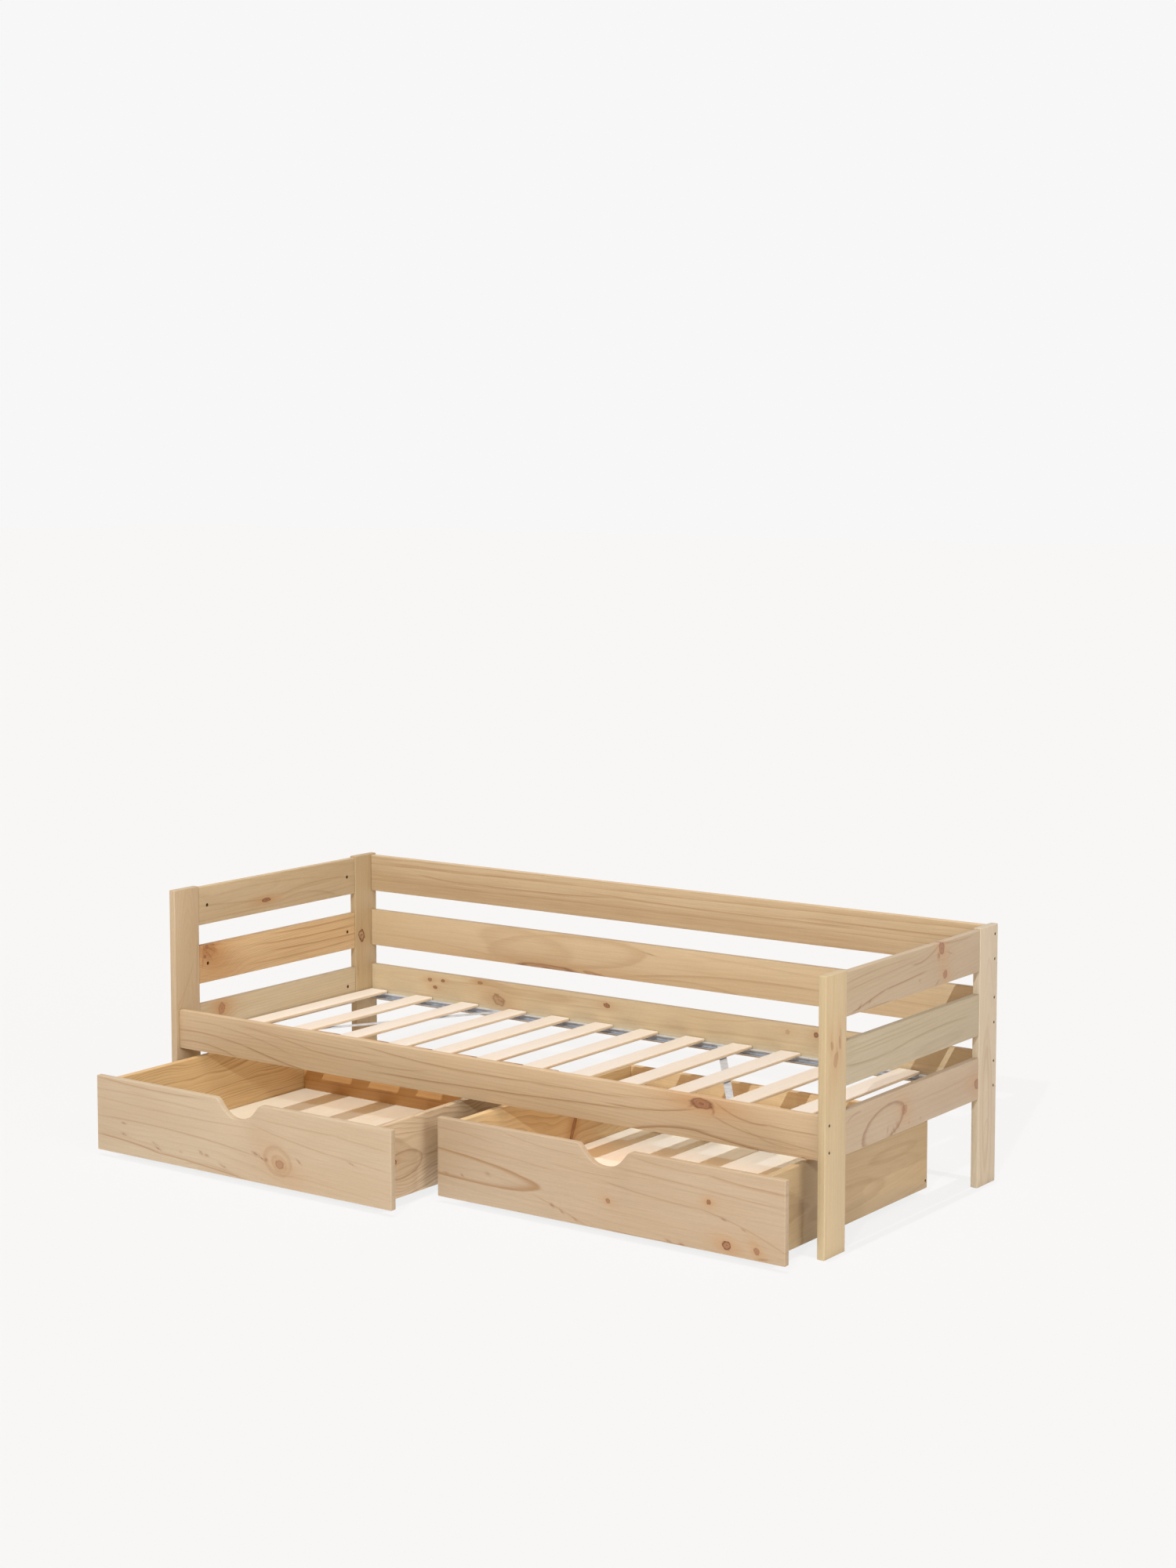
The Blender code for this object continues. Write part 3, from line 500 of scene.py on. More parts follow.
LOOKS = {
    "post_front_left": look(
        (202, 183, 155), (179, 152, 115), (194, 172, 138), trunk=(0.002, 0.05), lean=0.1,
        ring=0.006, strength=0.35,
        lines=[(0.12, 0.036, 0.07, 0.05, 0, 0.0026, -1, 0.6),
               (0.065, -0.002, 0.075, 0.55, -2, 0.0026, 1, 0.5),
               (0.02, -0.02, 0.05, 0.45, -2, 0.0022, 1, 0.4)]),
    "post_front_right": look(
        (206, 189, 154), (190, 165, 124), (200, 181, 143), trunk=(0.01, 0.11), lean=0.012,
        ring=0.008, strength=0.4,
        knots=[(0.1665, -0.019, 0.01, 0.0055, 0.2, 0.5, 0.25, 0.4, 0.6),
               (0.168, 0.0165, 0.015, 0.0045, 0.1, 0.5, 0.25, 0.4, 0.6),
               (0.13, -0.002, 0.017, 0.0085, -0.2, 0.45, 0.2, 0.4, 0.6)],
        dashes=[(0.19, 0.02, 0.012, 0.0025, 0.1, 0.5), (0.145, 0.006, 0.014, 0.003, 0.2, 0.5)]),
    "post_rear_left": look(
        (188, 168, 133), (164, 136, 98), (183, 156, 116), trunk=(0.03, 0.08), lean=0.008,
        ring=0.005, strength=0.5,
        knots=[(0.0935, -0.021, 0.0165, 0.0115, 0.2, 0.1, 1, 0.2, 0.9),
               (0.09, -0.02, 0.008, 0.006, 0.3, 0.2, 0.8, 0.2, 0.3)],
        dashes=[(-0.0072, -0.0385, 0.02, 0.0028, 0, 0.5)]),
    "post_rear_right": look(
        (203, 192, 172), (180, 159, 133), (199, 186, 161), trunk=(0.0, 0.045), lean=0.09,
        ring=0.006, strength=0.45,
        loops=[(-0.13, -0.008, 0.155, 0.018, 0, 0.0032, 0.6),
               (-0.16, -0.006, 0.23, 0.031, 0, 0.0032, 0.4)]),
    "front_rail": look(
        (208, 186, 154), (162, 123, 86), (199, 173, 138), trunk=(-0.25, 0.05), lean=0.02,
        ring=0.011, strength=0.35, wander=0.006,
        knots=[(0.69, 0.036, 0.03, 0.0115, 0.05, 1, 0.75, 0.8, 0.5),
               (0.972, -0.053, 0.006, 0.003, 0, 0.7, 0.6, 0.4, 0.4)],
        dashes=[(0.7195, 0.03, 0.0075, 0.0045, 0.9, 0.85),
                (0.7235, 0.0205, 0.0035, 0.006, 0.2, 0.8),
                (0.661, 0.028, 0.01, 0.003, -0.5, 0.6)],
        lines=[(-0.893, -0.0012, 0.161, -0.065, -0.51, 0.0024, 1, 0.6),
               (-0.666, -0.0375, 0.145, -0.174, 0.26, 0.0028, 1, 0.8),
               (-0.911, -0.0294, 0.137, -0.091, -0.97, 0.0024, 1, 0.6),
               (-0.803, 0.0215, 0.232, -0.116, -0.43, 0.0022, 1, 0.4),
               (-0.649, 0.0231, 0.168, -0.134, -0.28, 0.0022, 1, 0.5),
               (-0.419, -0.0027, 0.143, -0.008, 0.48, 0.0022, 1, 0.5),
               (-0.53, 0.0238, 0.294, -0.038, 0.08, 0.0022, 1, 0.45),
               (-0.078, 0.0187, 0.353, -0.031, 0.14, 0.0024, 1, 0.65),
               (0.329, 0.0191, 0.197, 0.007, 0.07, 0.0022, 1, 0.6),
               (0.09, -0.0184, 0.521, 0.025, 0.02, 0.0024, 1, 0.8),
               (-0.251, -0.0065, 0.12, 0.028, 0.6, 0.002, 1, 0.4),
               (0.521, 0.0287, 0.123, 0.048, 0.12, 0.002, 1, 0.4),
               (0.543, -0.0007, 0.154, 0.086, 0.59, 0.0024, -1, 0.8),
               (0.806, 0.0149, 0.094, -0.207, 2.48, 0.0024, 1, 0.75),
               (0.939, 0.0087, 0.086, -0.025, 0.46, 0.002, 1, 0.55),
               (0.8, -0.0105, 0.103, -0.208, 1.18, 0.0022, 1, 0.6),
               (0.939, -0.0246, 0.086, -0.095, -0.23, 0.002, 1, 0.5),
               (0.586, -0.0357, 0.156, 0.119, -0.97, 0.0034, -1, 0.95),
               (0.767, -0.0441, 0.148, -0.116, 0.13, 0.0032, -1, 0.9),
               (0.886, -0.0289, 0.101, -0.171, 1.64, 0.002, 1, 0.4)]),
    "back_board_upper": look(
        (208, 188, 155), (174, 138, 99), (200, 176, 138), trunk=(0.1, 0.06), lean=0.004,
        ring=0.013, strength=0.6, wander=0.003, fibre=0.8,
        lines=[(-0.724, 0.0033, 0.13, -0.051, 0.2, 0.0026, 1, 0.7),
               (-0.399, 0.0023, 0.309, 0.012, 0.06, 0.0026, 1, 0.8),
               (-0.544, -0.0201, 0.6, -0.004, 0.06, 0.03, 1, 0.36),
               (0.212, 0.0071, 0.551, -0.01, 0.03, 0.0026, 1, 0.7),
               (0.264, -0.015, 0.6, -0.011, -0.03, 0.026, 1, 0.36),
               (-0.634, 0.0332, 0.384, -0.001, 0.03, 0.0022, 1, 0.5),
               (0.72, 0.015, 0.3, -0.01, 0.03, 0.0026, 1, 0.7)]),
    "back_board_middle": look(
        (217, 197, 163), (183, 149, 110), (210, 185, 147), trunk=(0.06, 0.05), lean=0.01,
        ring=0.012, strength=0.25, wander=0.006, ripple=0.01,
        knots=[(-0.372, -0.05, 0.09, 0.0085, 0, 0.5, 0.6, 0.5, 0.4),
               (-0.2, -0.05, 0.04, 0.004, 0.1, 0.4, 0.4, 0.5, 0.4)],
        dashes=[(-0.016, 0.028, 0.022, 0.002, 0.15, 0.7)],
        lines=[(-0.704, -0.0229, 0.292, -0.069, -0.14, 0.0024, 1, 0.35),
               (-0.385, -0.0216, 0.266, -0.035, -0.52, 0.0034, 1, 0.35),
               (0.227, -0.0117, 0.403, 0.048, -0.14, 0.004, 1, 0.6),
               (0.113, -0.0353, 0.221, -0.016, -0.54, 0.0034, 1, 0.4),
               (0.324, 0.034, 0.272, -0.046, 0.02, 0.003, 1, 0.25),
               (0.8, -0.008, 0.26, -0.02, 0, 0.003, 1, 0.35)],
        loops=[(-0.44, 0.006, 0.15, 0.04, 0.12, 0.012, 0.3),
               (-0.3, 0.004, 0.268, 0.045, -0.06, 0.005, 0.45)]),
    "back_board_lower": look(
        (215, 198, 165), (181, 147, 107), (208, 185, 146), trunk=(0.03, 0.07), lean=0.006,
        ring=0.009, strength=0.5, wander=0.005,
        knots=[(-0.7925, 0.0298, 0.007, 0.0045, 0, 0.9, 0.9, 0.5, 1),
               (-0.7732, 0.0093, 0.007, 0.004, 0, 1, 1, 0.5, 1),
               (-0.7439, 0.0316, 0.006, 0.004, 0, 1, 1, 0.4, 1),
               (-0.6068, 0.0418, 0.008, 0.004, 0, 0.8, 0.8, 0.6, 1),
               (-0.54, -0.0004, 0.021, 0.013, 0.4, 0.35, 0.45, 0.5, 1.1),
               (-0.1597, 0.0297, 0.01, 0.0058, 0.1, 1, 0.9, 0.4, 1.1),
               (0.43, 0.03, 0.006, 0.0055, 0, 0.3, 0.3, 0.2, 1.1),
               (0.518, 0.0331, 0.006, 0.0062, 0, 1, 1, 0.3, 1.1)],
        dashes=[(-0.528, -0.004, 0.01, 0.003, 0.3, 0.7), (-0.545, 0.01, 0.008, 0.003, 0.7, 0.6)],
        lines=[(-0.453, 0.0402, 0.382, 0.012, -0.04, 0.0022, 1, 0.4),
               (-0.329, 0.0154, 0.215, 0.016, 0.02, 0.0022, 1, 0.35),
               (0.231, 0.0369, 0.145, 0.074, 0.57, 0.0022, 1, 0.35),
               (0.05, 0, 0.4, 0.01, 0.02, 0.0022, 1, 0.3)]),
    "end_board_left_upper": look(
        (201, 183, 151), (161, 131, 96), (190, 168, 130), trunk=(0.03, 0.08), lean=0.012,
        ring=0.009, strength=0.4,
        knots=[(-0.055, -0.019, 0.016, 0.005, 0, 1, 0.9, 0.7, 1.4)],
        lines=[(0.162, 0.0069, 0.202, 0.039, -0.48, 0.0034, 1, 0.4),
               (0.135, -0.018, 0.145, -0.08, -1.3, 0.0034, 1, 0.4),
               (-0.196, -0.0074, 0.168, -0.073, 0.03, 0.0022, 1, 0.4),
               (-0.05, 0.03, 0.3, -0.01, -0.2, 0.004, 1, 0.25)]),
    "end_board_left_middle": look(
        (219, 193, 151), (166, 120, 73), (213, 176, 125), trunk=(0.16, 0.02), lean=0.03,
        ring=0.0042, strength=0.85, wander=0.004, fibre=0.8,
        knots=[(-0.292, 0.036, 0.026, 0.024, 0.6, 0.22, 0.1, 1, 1.2),
               (-0.3, 0.046, 0.006, 0.005, 0.4, 0.9, 0.8, 1, 0.3),
               (-0.308, 0.02, 0.005, 0.005, 0.4, 0.9, 0.6, 1, 0.3)],
        dashes=[(-0.276, 0.049, 0.02, 0.003, 0.1, 0.8), (-0.262, 0.056, 0.018, 0.0026, 0.1, 0.7),
                (-0.284, 0.038, 0.018, 0.0028, 0.5, 0.75),
                (-0.303, 0.034, 0.016, 0.0028, 1.1, 0.7),
                (-0.292, 0.024, 0.018, 0.0024, 0.9, 0.7),
                (-0.312, 0.044, 0.014, 0.0024, 1.4, 0.7), (-0.316, 0.01, 0.02, 0.003, 1.7, 0.6),
                (-0.272, 0.038, 0.018, 0.0022, 0.4, 0.5)],
        lines=[(0.15, 0.04, 0.22, -0.01, 0.1, 0.0024, 1, 0.7),
               (0.12, 0.016, 0.26, -0.01, 0.1, 0.0024, 1, 0.7),
               (0.16, -0.008, 0.22, -0.01, 0.1, 0.0024, 1, 0.8),
               (0.1, -0.03, 0.28, 0.01, 0.05, 0.0022, 1, 0.6)]),
    "end_board_left_lower": look(
        (204, 190, 162), (171, 146, 111), (195, 176, 143), trunk=(0.08, 0.05), lean=0.015,
        ring=0.006, strength=0.5,
        knots=[(-0.243, 0.027, 0.012, 0.016, 0.2, 0.55, 0.4, 0.8, 1.1)]),
    "end_board_right_upper": look(
        (188, 172, 147), (151, 120, 92), (180, 160, 133), trunk=(-0.2, 0.06), lean=-0.1, ring=0.01,
        strength=0.22,
        knots=[(0.129, 0.038, 0.015, 0.012, 1.1, 0.85, 0.6, 0.5, 0.8),
               (0.148, -0.03, 0.0095, 0.01, 0.9, 0.8, 0.5, 0.5, 0.8)],
        dashes=[(0.1146, 0.0214, 0.006, 0.008, 0, 0.8), (0.108, -0.045, 0.012, 0.003, -0.5, 0.6),
                (-0.2223, -0.0352, 0.008, 0.003, -0.6, 0.6),
                (0.0194, -0.0249, 0.005, 0.004, 0, 0.4), (-0.27, -0.04, 0.01, 0.003, -0.7, 0.7),
                (0.17, 0.0206, 0.016, 0.0022, 0.3, 0.5)],
        lines=[(-0.224, -0.031, 0.106, 0.186, -0.23, 0.0026, 1, 0.85),
               (-0.052, -0.0128, 0.126, 0.062, 0.09, 0.0024, 1, 0.85),
               (0.046, 0.0243, 0.08, 0.203, 2.38, 0.0024, 1, 0.7),
               (-0.187, -0.0497, 0.081, 0.028, -0.3, 0.0022, 1, 0.6),
               (-0.187, 0.0355, 0.186, 0.045, -0.14, 0.002, 1, 0.35),
               (-0.153, 0.0198, 0.231, 0.059, -0.06, 0.002, 1, 0.35),
               (0.208, 0.0449, 0.09, -0.03, 0.65, 0.0024, 1, 0.5)]),
    "end_board_right_middle": look(
        (186, 177, 154), (158, 143, 112), (181, 167, 139), trunk=(-0.2, 0.06), lean=-0.06,
        ring=0.012, strength=0.3, wander=0.01, ripple=0.012,
        lines=[(-0.227, -0.0106, 0.135, -0.024, 0.38, 0.0034, 1, 0.75),
               (0.064, 0.0061, 0.258, 0.05, -0.18, 0.0032, 1, 0.75),
               (-0.139, 0.0385, 0.256, 0.023, 0.07, 0.0026, 1, 0.4),
               (-0.112, 0.0286, 0.291, 0.024, 0.01, 0.0026, 1, 0.45),
               (-0.112, 0.0186, 0.291, 0.017, 0.09, 0.0024, 1, 0.35)],
        loops=[(0.121, -0.034, 0.112, 0.012, -0.04, 0.006, 0.3)]),
    "end_board_right_lower": look(
        (189, 173, 150), (146, 112, 86), (182, 162, 137), trunk=(-0.25, 0.1), lean=-0.04,
        ring=0.014, strength=0.15,
        knots=[(-0.05, -0.002, 0.011, 0.012, 0.9, 0.55, 0.3, 0.4, 0.4),
               (0.3265, -0.012, 0.016, 0.012, 0.2, 0.9, 0.6, 0.5, 0.8)],
        dashes=[(-0.114, -0.05, 0.004, 0.01, 0.5, 0.75),
                (-0.132, -0.036, 0.0028, 0.01, 0.3, 0.6),
                (-0.0268, -0.0389, 0.003, 0.003, 0, 0.7),
                (0.0301, -0.0386, 0.003, 0.003, 0, 0.6),
                (-0.084, -0.033, 0.006, 0.011, -0.6, 0.5),
                (-0.1, -0.042, 0.005, 0.011, -0.6, 0.5)],
        lines=[(-0.294, 0.0358, 0.042, 0.231, -4.96, 0.0024, 1, 0.5),
               (0.1, 0.01, 0.26, 0, 0.2, 0.003, 1, 0.2)],
        loops=[(-0.151, -0.018, 0.103, 0.042, -0.205, 0.0032, 0.75)]),
    "drawer_left_front": look(
        (200, 184, 159), (172, 138, 103), (193, 171, 141), trunk=(-0.35, 0.05), lean=0.05,
        ring=0.015, strength=0.2, wander=0.012, ripple=0.016,
        knots=[(0.1376, -0.036, 0.046, 0.037, 0.55, 0, 0.06, 0.12, 0.25),
               (0.138, -0.042, 0.03, 0.019, 0.65, 0.1, 0, 0.32, 0),
               (0.1406, -0.041, 0.0125, 0.0105, 0.3, 0.55, 0.45, 0.5, 0.8)],
        dashes=[(-0.4059, -0.0157, 0.008, 0.0024, 0.1, 0.9),
                (-0.4066, -0.0447, 0.011, 0.0034, 0.2, 0.6),
                (-0.2942, -0.0533, 0.012, 0.003, 0.3, 0.45),
                (-0.2825, -0.0646, 0.011, 0.0026, 0.3, 0.75),
                (-0.1292, -0.0526, 0.008, 0.004, 0.5, 0.75),
                (-0.1099, -0.056, 0.008, 0.0034, 0.2, 0.75),
                (-0.0526, -0.0758, 0.013, 0.003, 0.3, 0.65),
                (-0.2015, -0.0615, 0.006, 0.003, 0.2, 0.4),
                (0.0581, -0.0256, 0.011, 0.004, 0.3, 0.8),
                (0.08, -0.034, 0.014, 0.0022, 0.5, 0.8), (0.0954, -0.0363, 0.005, 0.005, 0, 0.8),
                (0.205, -0.024, 0.01, 0.0028, 0.6, 0.75),
                (0.3767, -0.0027, 0.016, 0.0026, 0.3, 0.5)],
        lines=[(-0.315, 0.0883, 0.234, -0.02, 0.15, 0.0024, 1, 0.65),
               (-0.303, 0.0658, 0.253, -0.015, -0.1, 0.0022, 1, 0.35),
               (-0.219, 0.0352, 0.345, -0.012, 0.08, 0.0022, 1, 0.35),
               (-0.219, -0.0075, 0.368, -0.043, -0.14, 0.0024, 1, 0.6),
               (-0.386, -0.064, 0.15, -0.09, -0.29, 0.003, -1, 0.95),
               (-0.133, -0.0841, 0.191, -0.07, -0.13, 0.0028, -1, 0.9),
               (-0.385, -0.0503, 0.15, -0.094, -0.02, 0.006, 1, 0.25),
               (-0.09, -0.0805, 0.117, -0.029, -1.18, 0.0022, 1, 0.45),
               (0.209, 0.0614, 0.167, -0.018, 0.12, 0.0022, 1, 0.45),
               (0.411, 0.052, 0.106, -0.081, 0.06, 0.0022, 1, 0.45),
               (0.187, 0.0242, 0.155, -0.149, 0.13, 0.0022, 1, 0.5),
               (0.391, 0.0037, 0.12, -0.079, -0.05, 0.0022, 1, 0.4),
               (0.3, -0.07, 0.2, -0.06, -0.1, 0.0022, 1, 0.3)],
        loops=[(0.134, -0.034, 0.047, 0.035, 0.35, 0.0048, 0.4),
               (0.14, -0.04, 0.026, 0.02, 0.5, 0.0034, 0.35)]),
    "drawer_right_front": look(
        (195, 176, 151), (166, 130, 91), (187, 164, 133), trunk=(-0.35, 0.05), lean=0.05,
        ring=0.016, strength=0.2, wander=0.013, ripple=0.016,
        knots=[(0.3469, -0.0771, 0.0105, 0.0092, 0.2, 0.9, 1, 0.6, 1),
               (0.2972, 0.0165, 0.0052, 0.0052, 0, 1, 1, 0.6, 1),
               (0.013, -0.0273, 0.0062, 0.005, 0.3, 0.8, 0.6, 0.4, 1),
               (0.4281, -0.0766, 0.008, 0.007, 0.9, 0.8, 0.5, 0.5, 0.6)],
        dashes=[(-0.3463, -0.0191, 0.009, 0.005, 0.4, 0.45),
                (-0.4259, -0.0355, 0.005, 0.0028, 0.4, 0.8),
                (-0.4767, -0.0364, 0.008, 0.0024, 0.1, 0.5),
                (0.1858, -0.0941, 0.01, 0.0028, 0.3, 0.75),
                (0.2237, -0.0973, 0.009, 0.0036, 0.3, 0.75),
                (0.3386, -0.0176, 0.008, 0.0024, 0.3, 0.75),
                (0.393, -0.0332, 0.008, 0.0022, 0.4, 0.55),
                (-0.1513, -0.065, 0.007, 0.004, 0.6, 0.75),
                (-0.1222, -0.0765, 0.008, 0.0024, 0.6, 0.6),
                (-0.083, -0.0883, 0.009, 0.0022, 0.5, 0.55),
                (0.444, -0.0938, 0.02, 0.0032, -0.15, 0.5)],
        lines=[(-0.424, 0.0722, 0.102, -0.079, -0.39, 0.0022, 1, 0.35),
               (-0.183, 0.0754, 0.151, -0.098, 0.44, 0.0022, 1, 0.4),
               (-0.046, 0.0329, 0.125, -0.022, 0.18, 0.0022, 1, 0.35),
               (-0.126, -0.0713, 0.097, -0.317, -0.28, 0.0022, 1, 0.5),
               (0.198, 0.0806, 0.138, -0.045, 0.39, 0.0026, 1, 0.45),
               (0.403, 0.0712, 0.139, -0.063, 0.18, 0.0036, 1, 0.65),
               (0.279, 0.0452, 0.284, -0.061, 0, 0.0022, 1, 0.45),
               (0.134, 0.0044, 0.18, -0.085, 0.23, 0.0022, 1, 0.5),
               (0.382, -0.0253, 0.155, -0.275, -0.65, 0.0022, 1, 0.5),
               (0.135, -0.0979, 0.135, 0.007, 0.21, 0.0036, 1, 0.5),
               (-0.3, 0.035, 0.22, -0.09, 0, 0.0022, 1, 0.3)],
        loops=[(-0.5, -0.0085, 0.31, 0.0325, 0.07, 0.0028, 0.95)]),
    "drawer_left_side_left": look(
        (215, 185, 138), (162, 117, 70), (206, 173, 121), trunk=(0.2, 0.05), lean=0.02,
        ring=0.0085, strength=0.9, wander=0.01, ripple=0.034),
    "drawer_left_side_right": look(
        (211, 191, 162), (161, 129, 96), (202, 179, 145), trunk=(0.02, 0.05), lean=0.05,
        ring=0.007, strength=0.8, wander=0.012, ripple=0.03,
        knots=[(-0.3144, -0.0036, 0.005, 0.005, 0, 1, 1, 0.4, 1)],
        lines=[(-0.12, -0.01, 0.12, -0.03, 0.1, 0.0024, 1, 0.6),
               (-0.12, -0.038, 0.12, 0.085, 0.2, 0.0024, 1, 0.5),
               (-0.14, -0.062, 0.12, 0.12, 0.2, 0.0024, 1, 0.4)],
        loops=[(-0.285, -0.016, 0.078, 0.034, -0.05, 0.0026, 0.7)]),
    # The left drawer's back is painted darker and more orange than the right drawer's same board:
    # painted shade over the lamp light that falls on it
    "drawer_left_back": look(
        (203, 158, 104), (166, 113, 60), (194, 147, 92), trunk=(0.12, 0.06), lean=0.01, ring=0.014,
        strength=0.6),
    "drawer_right_side_left": look(
        (220, 195, 152), (166, 127, 83), (212, 181, 132), trunk=(0.0, 0.05), lean=0.06, ring=0.01,
        strength=0.6, wander=0.007, ripple=0.03,
        knots=[(0.092, -0.018, 0.0065, 0.042, 0.35, 0.9, 0.9, 0.8, 0.6)]),
    "drawer_right_side_right": look(
        (194, 172, 135), (158, 130, 91), (186, 161, 121), trunk=(0.0, 0.07), lean=0.05, ring=0.012,
        strength=0.6, wander=0.016,
        loops=[(-0.02, -0.035, 0.17, 0.03, 0, 0.006, 0.4),
               (0.2, 0.03, 0.11, 0.016, 0, 0.004, 0.3)]),
    # The right drawer's back is painted paler than the left's: painted light
    "drawer_right_back": look(
        (231, 206, 164), (193, 154, 107), (221, 189, 146), trunk=(0.12, 0.06), lean=0.01,
        ring=0.014, strength=0.6),
    "drawer_left_batten": look(trunk=(0.02, 0.06)),
    "drawer_right_batten": look(trunk=(0.05, 0.09), lean=0.02),
}


def grain_of(node):
    """The direction that a wooden node's grain runs in."""
    if node.startswith("post_"):
        return GRAIN["z"]
    if node.startswith(("end_board", "drawer_left_side", "drawer_right_side")):
        return GRAIN["y"]
    if node.startswith("slat_") or node.endswith(("_batten", "_floor")):
        return GRAIN["flat"]
    return GRAIN["x"]


def start_material(name, metallic=0.0):
    """A new material. Returns it, its nodes and its surface."""
    material = bpy.data.materials.new(name)
    material.use_nodes = True
    surface = material.node_tree.nodes["Principled BSDF"]
    surface.inputs["Metallic"].default_value = metallic
    return material, Nodes(material.node_tree), surface


def start_pine(name, turn, middle):
    """A new material with the pine group's first inputs: where a point on the board lies."""
    material, n, surface = start_material(name)
    where = n.put("TexCoord")
    point = n.put("Mapping", {"Vector": where["Object"], "Location": -(turn @ middle),
                              "Rotation": turn.to_euler()})[0]
    normal = n.put("Mapping", {"Vector": where["Normal"], "Rotation": turn.to_euler()},
                   vector_type="NORMAL")[0]
    wood = bpy.context.scene.daybed_wood
    given = {"Point": point, "Normal": normal}
    for label, stain in (("Knot heart", wood.knot_heart), ("Knot rim", wood.knot_rim),
                         ("Resin colour", wood.resin), ("Dash colour", wood.dash)):
        given[label] = (*stain, 1)
    return material, n, surface, given


def planed_pine(n, given):
    """The pine group with its inputs. Returns its outputs."""
    group = node_group("Planed pine", PINE_VALUES,
                       {"Colour": "Color", "Roughness": "Float", "Height": "Float"}, draw_pine)
    return n.put("Group", given, node_tree=group)


def pine_material(node):
    """Pine for one board, with that board's rings, knots and growth lines."""
    wood, marks = LOOKS[node]
    low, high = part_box(node)
    turn = grain_of(node)
    material, n, surface, given = start_pine("pine_" + node, turn, (low + high) / 2)
    half_size = [abs(part) for part in turn @ ((high - low) / 2)]
    seed = sum(ord(letter) * (place + 3) for place, letter in enumerate(node)) % 173 * 0.37
    given.update({"Half size": half_size, "Seed": seed, **wood})
    for kind, (title, draw, handed_on, numbers) in MARKS.items():
        start = {"Point": (0.0, 0.0, 0.0), "Middle": (0.0, 0.0, 0.0), **numbers,
                 **dict.fromkeys(handed_on, 0.0)}
        group = node_group(title, start, dict.fromkeys(handed_on, "Float"), draw)
        for along, across, *rest in marks.get(kind, ()):
            values = {"Point": given["Point"], "Middle": (along, across, 0),
                      **dict(zip(numbers, rest)),
                      **{label: given[label] for label in handed_on if label in given}}
            made = n.put("Group", values, node_tree=group)
            given.update({label: made[label] for label in handed_on})
    pine = planed_pine(n, given)
    n.coat(surface, pine["Colour"], pine["Roughness"], pine["Height"], 0.0004, 0.35)
    return material


def pale_wood_material(name, colour, streak):
    """Almost plain pale wood with fine grain along Y and painted shade on its edges, for the slats
    and the drawer floors.
    """
    material, n, surface, given = start_pine(name, GRAIN["flat"], Vector())
    late, tinted = ([share * part for share, part in zip(shares, colour)]
                    for shares in ((0.88, 0.80, 0.70), (0.99, 0.95, 0.89)))
    given.update({"Half size": (9, 9, 9), "Seed": 4.4, "Trunk across": 1.6,
                  "Trunk depth": 0.5, "Lean": 0.01, "Ring width": 0.009,
                  "Ring strength": streak, "Wander": 0.012, "Fibre strength": 0.28,
                  "Fleck strength": 0.2, "Mottle": 0.8, "Early wood": (*colour, 1),
                  "Tint": (*tinted, 1), "Late wood": (*late, 1)})
    pine = planed_pine(n, given)
    # Faces that turn away from up and down are painted darker: painted shade along the edges of
    # the slats and floors
    up = n.maths("ABSOLUTE", n.split(given["Normal"])[2])
    edges = n.mix(n.ramp(up, 0.85, 0.45), (1, 1, 1, 1), (0.94, 0.84, 0.68, 1))
    shaded = n.mix(1.0, pine["Colour"], edges, "MULTIPLY")
    n.coat(surface, shaded, pine["Roughness"], pine["Height"], 0.0003, 0.3)
    return material


# ---------------------------------------------------------------- steel and plastic


def steel_material(name, colour, roughness, tarnish, metallic=1.0):
    """Rolled steel: faint rolling lines, clouded plating and small scuffs."""
    material, n, surface = start_material(name, metallic)
    where = n.put("TexCoord")["Object"]
    cloud = n.noise(where, 38.0, 4.0, 0.6)
    line = n.noise(n.vector("MULTIPLY", where, (12.0, 900.0, 900.0)), 1.0, 2.0)
    scuff = n.ramp(n.noise(where, 260.0, 2.0), 0.60, 0.72)
    dull = [part * tarnish for part in colour]
    clouded = n.mix(n.ramp(cloud, 0.35, 0.65), (*colour, 1), (*dull, 1))
    rough = n.times_add(scuff, 0.10, n.times_add(cloud, 0.20, roughness - 0.10))
    height = n.times_add(line, 0.5, n.times(scuff, -0.4))
    n.coat(surface, clouded, rough, height, 0.0001, 0.3)
    return material


def plastic_material(name, colour):
    """Moulded plastic: fine grain, with the tread dulled and dusted by use."""
    material, n, surface = start_material(name)
    where = n.put("TexCoord")["Object"]
    cloud = n.noise(where, 120.0, 3.0)
    dusty = [min(1.0, part * 1.8 + 0.01) for part in colour]
    dusted = n.mix(n.ramp(cloud, 0.40, 0.75), (*colour, 1), (*dusty, 1))
    n.coat(surface, dusted, n.times_add(cloud, 0.25, 0.42), n.noise(where, 2600.0, 2.0),
           0.0001, 0.35)
    return material


# ---------------------------------------------------------------- shaping with mesh tools


def deselect():
    """Leave nothing selected."""
    bpy.ops.object.select_all(action="DESELECT")


def select_only(piece):
    """Select one piece and make it the active one."""
    deselect()
    piece.select_set(True)
    bpy.context.view_layer.objects.active = piece


def apply_place(piece):
    """Put a piece's place, turn and size into its mesh."""
    select_only(piece)
    bpy.ops.object.transform_apply(location=True, rotation=True, scale=True)
    return piece


def add_named(name, add, **settings):
    """Add an object with one of Blender's add operators, and name it."""
    deselect()
    add(**settings)
    made = bpy.context.object
    made.name = made.data.name = name
    return made


def add_block(name, low, high):
    """A box between two corners."""
    low, high = Vector(low), Vector(high)
    return apply_place(add_named(name, bpy.ops.mesh.primitive_cube_add, size=1,
                                 location=(low + high) / 2, scale=high - low))


def add_rod(name, middle, radius, long, axis, sides=24):
    """A round rod along an axis."""
    turns = {"x": (0, math.pi / 2, 0), "z": (0, 0, 0)}
    return apply_place(add_named(name, bpy.ops.mesh.primitive_cylinder_add, vertices=sides,
                                 radius=radius, depth=long, location=middle,
                                 rotation=turns[axis]))


